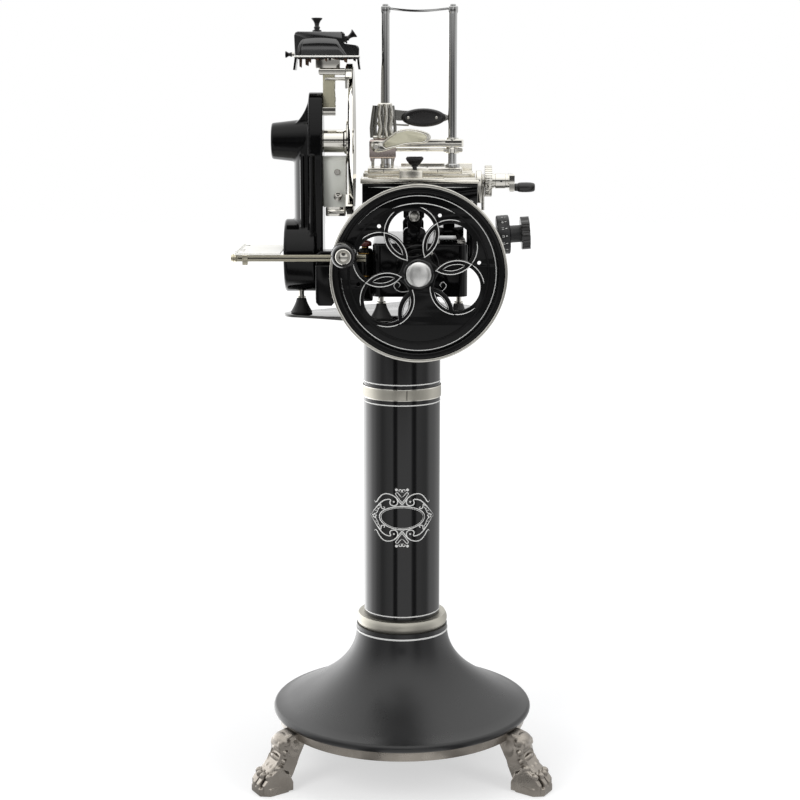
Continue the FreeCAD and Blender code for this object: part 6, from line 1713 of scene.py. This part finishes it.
# ---------------------------------------------------------------- clamp on its rods
@dataclass
class Clamp:
    """Rods with their caps and strap, and the clamp with its pillar, grip and lever."""

    rods: Pair = (-30.0, 89.0)
    feet: Pair = (9.4, 14.0)
    y: float = 40.0
    table: float = 1104.0
    top: float = 1384.0
    bar_low: float = 1131.5
    bar_high: float = 1153.0
    pillar_top: float = 1217.0
    grip_middle: Pair = (38.0, 1191.0)

    def uprights(self) -> None:
        """Turns the two rods with feet, rings and caps, and bends the strap between their tops."""
        parts = []
        length = self.top - self.table
        for x, foot in zip(self.rods, self.feet):
            parts.append(lathe([(0, 0), (foot - 0.6, 0), (foot, 0.6), (foot, 4.6), (foot - 1.2, 6.0),
                                (8, 6.0), (8, length - 13),
                                (8.4, length - 12), (9.2, length - 10), (9.5, length - 9),
                                (9.5, length - 1.2),
                                (8.6, length), (6, length), (6, length + 2.6), (4.6, length + 3.9),
                                (0, length + 4)],
                               (x, self.y, self.table), segments=72))
        left, span = self.rods[0], self.rods[1] - self.rods[0]
        places = [left + span * i / 24 for i in range(25)]
        line = [(x, 1381.0 - 5.0 * math.sin(math.pi * (x - left) / span)) for x in places]
        strap = prism([(x, z + 1.9) for x, z in line] + [(x, z - 1.9) for x, z in reversed(line)],
                      Plane.XZ, self.y - 3, self.y + 3, 0.5)
        piece("rods", "table", ROD, merge(*parts, strap), 35, ("clamp_rods",))

    def bar(self) -> None:
        """Shapes the bar with its lower rod and sleeve, and the block with its blunt spikes."""
        low, high, y = self.bar_low, self.bar_high, self.y
        upper = prism([(-26, low + 8), (104, low + 8), (109, low + 11), (109, high - 3), (106, high),
                       (-26, high)], Plane.XZ,
                      y - 7, y + 7, 2.6, 4)
        lower = lathe(rounded_rod(3.0, 134.0, 0.8), (-26, y - 3.4, low + 3.1), RIGHT, 40)
        sleeve = lathe([(8.05, 0), (12.0, 0), (13, 1), (13, 8), (12, 9), (12, 24), (11.2, 27.5),
                        (8.05, 27.5)],
                       (self.rods[1], y, low - 3), segments=72)
        end = prism([(77, y - 12), (106, y - 12), (109, y - 9), (109, y + 9), (106, y + 12), (77, y + 12)],
                    Plane.XY, high - 13.5, high, 2.2, 3)
        step = prism([(74, y - 10), (107, y - 10), (107, y + 10), (74, y + 10)], Plane.XY, low - 1, low + 5.0,
                     1.2, 3)
        piece("clamp_bar", "clamp", CHROME, merge(upper, lower, sleeve, end, step), 35,
              ("clamp_crossbar",))
        block = prism([(-58, 23.2), (-11, 23.2), (-11, 56.8), (-58, 56.8)], Plane.XY, 1119, high, 4.5, 5)
        teeth = [prism([(x, 1119.6), (x + 3.4, 1119.6), (x + 1.7, 1113.5)], Plane.XZ, 24.5,
                       27.5) for x in (-57, -51.4, -16.0)]
        piece("clamp_block", "clamp", NICKEL, merge(block, *teeth), 35)
        spikes = []
        for side in (-1, 1):
            for x in (-52.0, -34.0, -17.0):
                spikes.append(lathe([(0, 0), (1.4, 0.2), (2.4, 1.6), (2.6, 4), (2.6, 15.9), (0, 15.9)],
                                    (x, y + side * 13, self.table + 0.3), segments=24))
        piece("clamp_spikes", "clamp", GROUND, merge(*spikes), 35)

    def pillar(self) -> None:
        """Sculpts the pillar with its folds and its outer strip, and the tang of the grip."""
        base, top, x = self.bar_high, self.pillar_top, self.rods[0]
        body = prism([(x - 17, base), (x + 19, base)] + rounded([(x + 15, base + 12), (x + 11, base + 26),
                                                                 (x + 12, base + 44),
                     (x + 13, top - 4)], 3) + [(x + 9, top), (x - 12, top), (x - 15, top - 6)]
                     + rounded([(x - 14, base + 44), (x - 11, base + 28), (x - 14, base + 12)], 3), Plane.XZ,
                     self.y - 11, self.y + 11, 5.0, 3)
        folds = []
        for dx, lean, y in ((-9.5, 4.0, 29.4), (2.0, -3.0, 28.9), (11.5, -6.0, 30.5), (-6, 3.0, 51.0),
                            (7.0, -3.0, 51.0)):
            folds.append(tube([(x + dx - lean * 0.4, y, base + 2), (x + dx + lean * 0.5, y - 0.4, base + 20),
                               (x + dx - lean * 0.2, y + 0.8, base + 42), (x + dx * 0.8, y + 0.4, top - 2)],
                              3.4, 12))
        ring = lathe(rounded_ring(8.2, 12.5, 0, 7.0, 2.0), (x, self.y, top - 7.2), segments=48)
        foot = prism([(x - 22, 27.5), (x + 19, 27.5), (x + 19, 52.5), (x - 22, 52.5)], Plane.XY, base,
                     base + 7.0, 3.0, 3)
        skin = melted(merge(body, *folds, ring, foot), 0.75, 3)
        strips = []
        for dx, y, r, lean in ((-23.0, 35.0, 3.6, 4.5), (-16.5, 31.0, 2.4, 3.0), (-3.6, 28.6, 1.7, -1.5),
                               (6.8, 28.8, 1.6, 1.5), (17.0, 33.0, 3.0, -3.5), (-20.0, 46.0, 3.2, 4.0)):
            strips.append(tube(list(zip((x + dx, x + dx - lean * 0.2, x + dx + lean * 0.4, x + dx + lean),
                                        (y,) * 4, (base + 3, base + 20, base + 42, top - 5))), r, 14))
        piece("pillar_strips", "clamp", FORGED, merge(*strips), 50)
        piece("pillar", "clamp", CHROME, skin, 50, ("clamp_pillar",))
        gx, gz = self.grip_middle
        edge = rounded([(x + 9, gz - 2), (x + 22, gz - 5), (gx - 30, gz - 6), (gx - 6, gz - 13),
                        (gx + 18, gz - 11),
                        (gx + 41, gz - 5), (gx + 43.5, gz), (gx + 41, gz + 5), (gx + 18, gz + 12),
                        (gx - 6, gz + 14), (gx - 28, gz + 12), (x + 22, gz + 13.4), (x + 9, gz + 15)], 4)
        tang = prism(edge, Plane.XZ, self.y - 2.9, self.y + 2.9, 1.6, 3)
        stay = tube([(x + 9, 33.8, gz - 11.5), (x + 28, 33.8, gz - 12.6), (x + 42, 33.8, gz - 13.4)], 1.6, 14)
        piece("clamp_tang", "clamp", FORGED, merge(tang, stay), 45)

    def grip(self) -> None:
        """Shapes the two oval scales with their rivets."""
        gx, gz = self.grip_middle
        scales, rivets = [], []
        for side in (-1, 1):
            slope = [(0.80 + 0.20 * math.cos(a), 5.4 * math.sin(a))
                     for a in (math.radians(90 * i / 8) for i in range(1, 9))]
            made = bmesh.new()
            loops = []
            for share, lift in [(1.0, 0.0)] + slope + [(0.5, 5.45), (0.02, 5.5)]:
                y = self.y + side * (3 + lift)
                loops.append([made.verts.new((gx + 39.5 * share * math.cos(t), y,
                                              gz + 16.4 * share * math.sin(t)))
                              for t in [2 * math.pi * k / 72 for k in range(72)]])
            loft(made, loops)
            scales.append(made)
            for dx in (-27, 23):
                rivets.append(lathe([(0, 0), (2.5, 0), (2.4, 0.5), (1.6, 0.95), (0, 1.1)],
                                    (gx + dx, self.y + side * 8.15, gz), (0, side, 0), 24))
        piece("grip_scales", "clamp", RESIN, merge(*scales), 45, ("clamp_grip",))
        piece("grip_rivets", "clamp", GROUND, merge(*rivets), 45)

    def lever(self) -> None:
        """Shapes the squeeze lever: a rounded rim round a domed panel, and its pin."""
        outer = rounded([(-56, 1144), (-53, 1135.5), (-46, 1131.2), (-36, 1131.6), (-22, 1135.5),
                         (-6, 1140.5), (10, 1144),
                         (26, 1145.2), (39, 1146.4), (47.5, 1151), (50.8, 1157.5), (47, 1164), (38, 1167.8),
                         (24, 1171),
                         (8, 1172), (-8, 1168.6), (-22, 1159), (-34, 1151), (-45, 1151.6), (-53, 1149),
                         (-56, 1144)], 3)[:-1]
        inner = rounded([(-29, 1138.6), (-12, 1142.4), (6, 1147.2), (22, 1148.4), (36, 1149.6), (43, 1153.4),
                         (45, 1158),
                         (41, 1162.4), (33, 1165.2), (20, 1168.4), (7, 1169), (-7, 1165.6), (-19, 1157.6),
                         (-29, 1149.0), (-33, 1142.6), (-29, 1138.6)], 3)[:-1]
        rim = fret([outer, inner], 8.0, 22.4, 1.7, steps=4)
        head = lathe([(0, 0), (6.4, 0), (6.4, 2.0), (5.4, 3.0), (0, 3.2)], (-46, 7.9, 1140), FRONT, 40)
        piece("lever_rim", "lever", CHROME, rim, 45, ("squeeze_lever",))
        panel = prism([(a * 0.985 + 0.1, (z - 1156) * 0.955 + 1156) for a, z in inner], Plane.XZ, 9.4, 21.2,
                      2.2, 4)
        piece("lever_panel", "lever", CREAM, panel, 45)
        pin = lathe([(0, -0.2), (4, -0.2), (4, 18.4), (0, 18.4)], (-46, 22.9, 1140), FRONT, 32)
        piece("lever_bolt", "clamp", GROUND, merge(pin, head), 45, ("lever_pin",))

    def build(self) -> None:
        """Builds the clamp."""
        self.uprights()
        self.bar()
        self.pillar()
        self.grip()
        self.lever()


# ---------------------------------------------------------------- thickness dial
@dataclass
class Dial:
    """Numbered drum with its lobed hand knob."""

    place: Point = (166.0, -40.0, 989.0)
    tilt: float = 4.0
    radius: float = 34.0
    thick: float = 22.0
    neck: float = 20.0
    knob_radius: float = 29.0
    knob: float = 15.0
    lobes: int = 7
    marks: int = 16

    def along(self, far: float) -> Point:
        """A point on the dial's axis."""
        a = math.radians(self.tilt)
        return self.place[0] + far * math.cos(a), self.place[1], self.place[2] + far * math.sin(a)

    def numbers(self) -> bmesh.types.BMesh:
        """Sets the numbers and strokes round the drum.

        Returns:
            The figures, for a drum that stands on Z at the origin.
        """
        parts = []
        for i in range(self.marks):
            text = bpy.data.curves.new("number", "FONT")
            text.body = str(i)
            text.size = 5.2 * MM
            text.align_x = "CENTER"
            text.align_y = "CENTER"
            text.extrude = 0.12 * MM
            thing = bpy.data.objects.new("number", text)
            bpy.context.scene.collection.objects.link(thing)
            made = evaluated(thing)
            bpy.data.curves.remove(text)
            stroke = prism([(-0.5, 4.4), (0.5, 4.4), (0.5, 7.6), (-0.5, 7.6)], Plane.XY, -0.12, 0.12)
            made = merge(made, stroke)
            angle = 2 * math.pi * i / self.marks
            for vert in made.verts:
                x, y, z = vert.co
                lift, turn = self.radius + z, angle + x / self.radius
                vert.co = (lift * math.cos(turn), lift * math.sin(turn), y + self.thick / 2 - 1.5)
            parts.append(made)
        return merge(*parts)

    def build(self) -> None:
        """Builds the dial."""
        a = math.radians(self.tilt)
        axis = (math.cos(a), 0, math.sin(a))
        r, thick, neck = self.radius, self.thick, self.neck
        drum = lathe([(7.05, 0), (r - 2.2, 0), (r - 0.4, 1.2), (r - 0.15, 2.0), (r - 0.15, thick - 2),
                      (r - 0.4, thick - 1.0),
                      (r - 3, thick), (17, thick + 0.2), (15.4, thick + 1.6), (15, thick + 3),
                      (15, thick + neck),
                      (0, thick + neck), (0, thick - 4), (7.05, thick - 4)], self.along(0), axis, 128)
        piece("dial_drum", "dial", MATT_RESIN_AND_SHADE, drum, 30, ("thickness_dial",))
        piece("dial_figures", "dial", WHITE, turn_to(self.numbers(), self.along(0), axis), 40)
        outline = []
        for k in range(140):
            t = 2 * math.pi * k / 140
            reach = self.knob_radius - 3.6 * (0.5 - 0.5 * math.cos(t * self.lobes + math.pi)) ** 2.2
            outline.append((reach * math.cos(t), reach * math.sin(t)))
        knob = prism(outline, Plane.XY, 0.05, self.knob - 0.1, 2.6, 4)
        hub = lathe([(0, self.knob - 0.4), (11, self.knob - 0.4), (11, self.knob - 0.05),
                     (0, self.knob - 0.02)], segments=48)
        piece("dial_hand_knob", "dial", RESIN,
              turn_to(merge(knob, hub), self.along(thick + neck), axis), 40,
              ("dial_knob",))


# ---------------------------------------------------------------- slice tray
@dataclass
class Tray:
    """Polished tray on its square rail."""

    left: float = -285.0
    front: float = -118.0
    top: float = 964.0

    def build(self) -> None:
        """Builds the tray and its rail, with a dark strip of painted shade in the rail's groove."""
        eased("tray_plate", TRAY, 0.6, 3)
        slots = [prism([(-281, y), (-273, y), (-273, y + 3.4), (-281, y + 3.4)], Plane.XY, 963.8,
                       964.25) for y in (40.0, -52.0)]
        piece("tray_slots", "slice_tray", MATT_RESIN_AND_SHADE, merge(*slots), 35)
        low = self.top - 14.0
        y0, y1 = self.front, self.front + 9.0
        section = [(y0 + 0.3, low), (y1 - 0.3, low), (y1, low + 0.3), (y1, low + 10.7), (y1 - 0.3, low + 11),
                   (y0 + 0.3, low + 11),
                   (y0, low + 10.7), (y0, low + 6.8), (y0 + 3.4, low + 6.5), (y0 + 3.4, low + 4.7),
                   (y0, low + 4.4), (y0, low + 0.3)]
        rail = prism(section, Plane.YZ, self.left + 2.0, -62.0)
        stop = lathe([(0, -8), (5.4, -8), (5.4, -6), (7.2, -5), (7.2, -3.4), (5.8, -2.6), (5.8, -1.4),
                      (7.2, -0.6), (7.2, 1.0), (5.8, 1.8),
                      (5.6, 3.6), (4.8, 4.0), (0, 4.0)], (-289.0, y0 + 5.5, low + 5.5), LEFT, 48)
        grip = prism([(-273, y0 - 1.5), (-264, y0 - 1.5), (-264, y1 + 4), (-273, y1 + 4)], Plane.XY, low - 6,
                     low + 11, 1.4, 3)
        pin = lathe([(0, 0), (2.6, 0), (2.6, 0.3), (0, 0.3)], (-198.0, y0 + 4.5, low - 0.28), segments=20)
        # A dark strip of matt resin inside the rail's groove: painted shade, standing for the shadow that
        # falls in the groove.
        shadow = prism([(y0 + 1.6, low + 4.9), (y0 + 3.2, low + 4.9), (y0 + 3.2, low + 6.3),
                        (y0 + 1.6, low + 6.3)], Plane.YZ, self.left + 3, -62.4)
        piece("tray_bar_groove_shade", "slice_tray", MATT_RESIN_AND_SHADE, shadow, 35)
        piece("tray_bar", "slice_tray", BAR, merge(rail, stop, grip, pin), 35, ("tray_rail",))


def main() -> None:
    """Builds the studio and the machine in order, and reports each piece."""
    logging.basicConfig(level=logging.INFO, format="%(name)s: %(message)s")
    for part in (Studio(), Stand(), Base(), KnifeSide(), Sharpener(), Flywheel(), Carriage(), Feed(), Clamp(),
                 Dial(), Tray()):
        part.build()
        LOG.info("%s built", type(part).__name__)


if __name__ == "__main__":
    main()
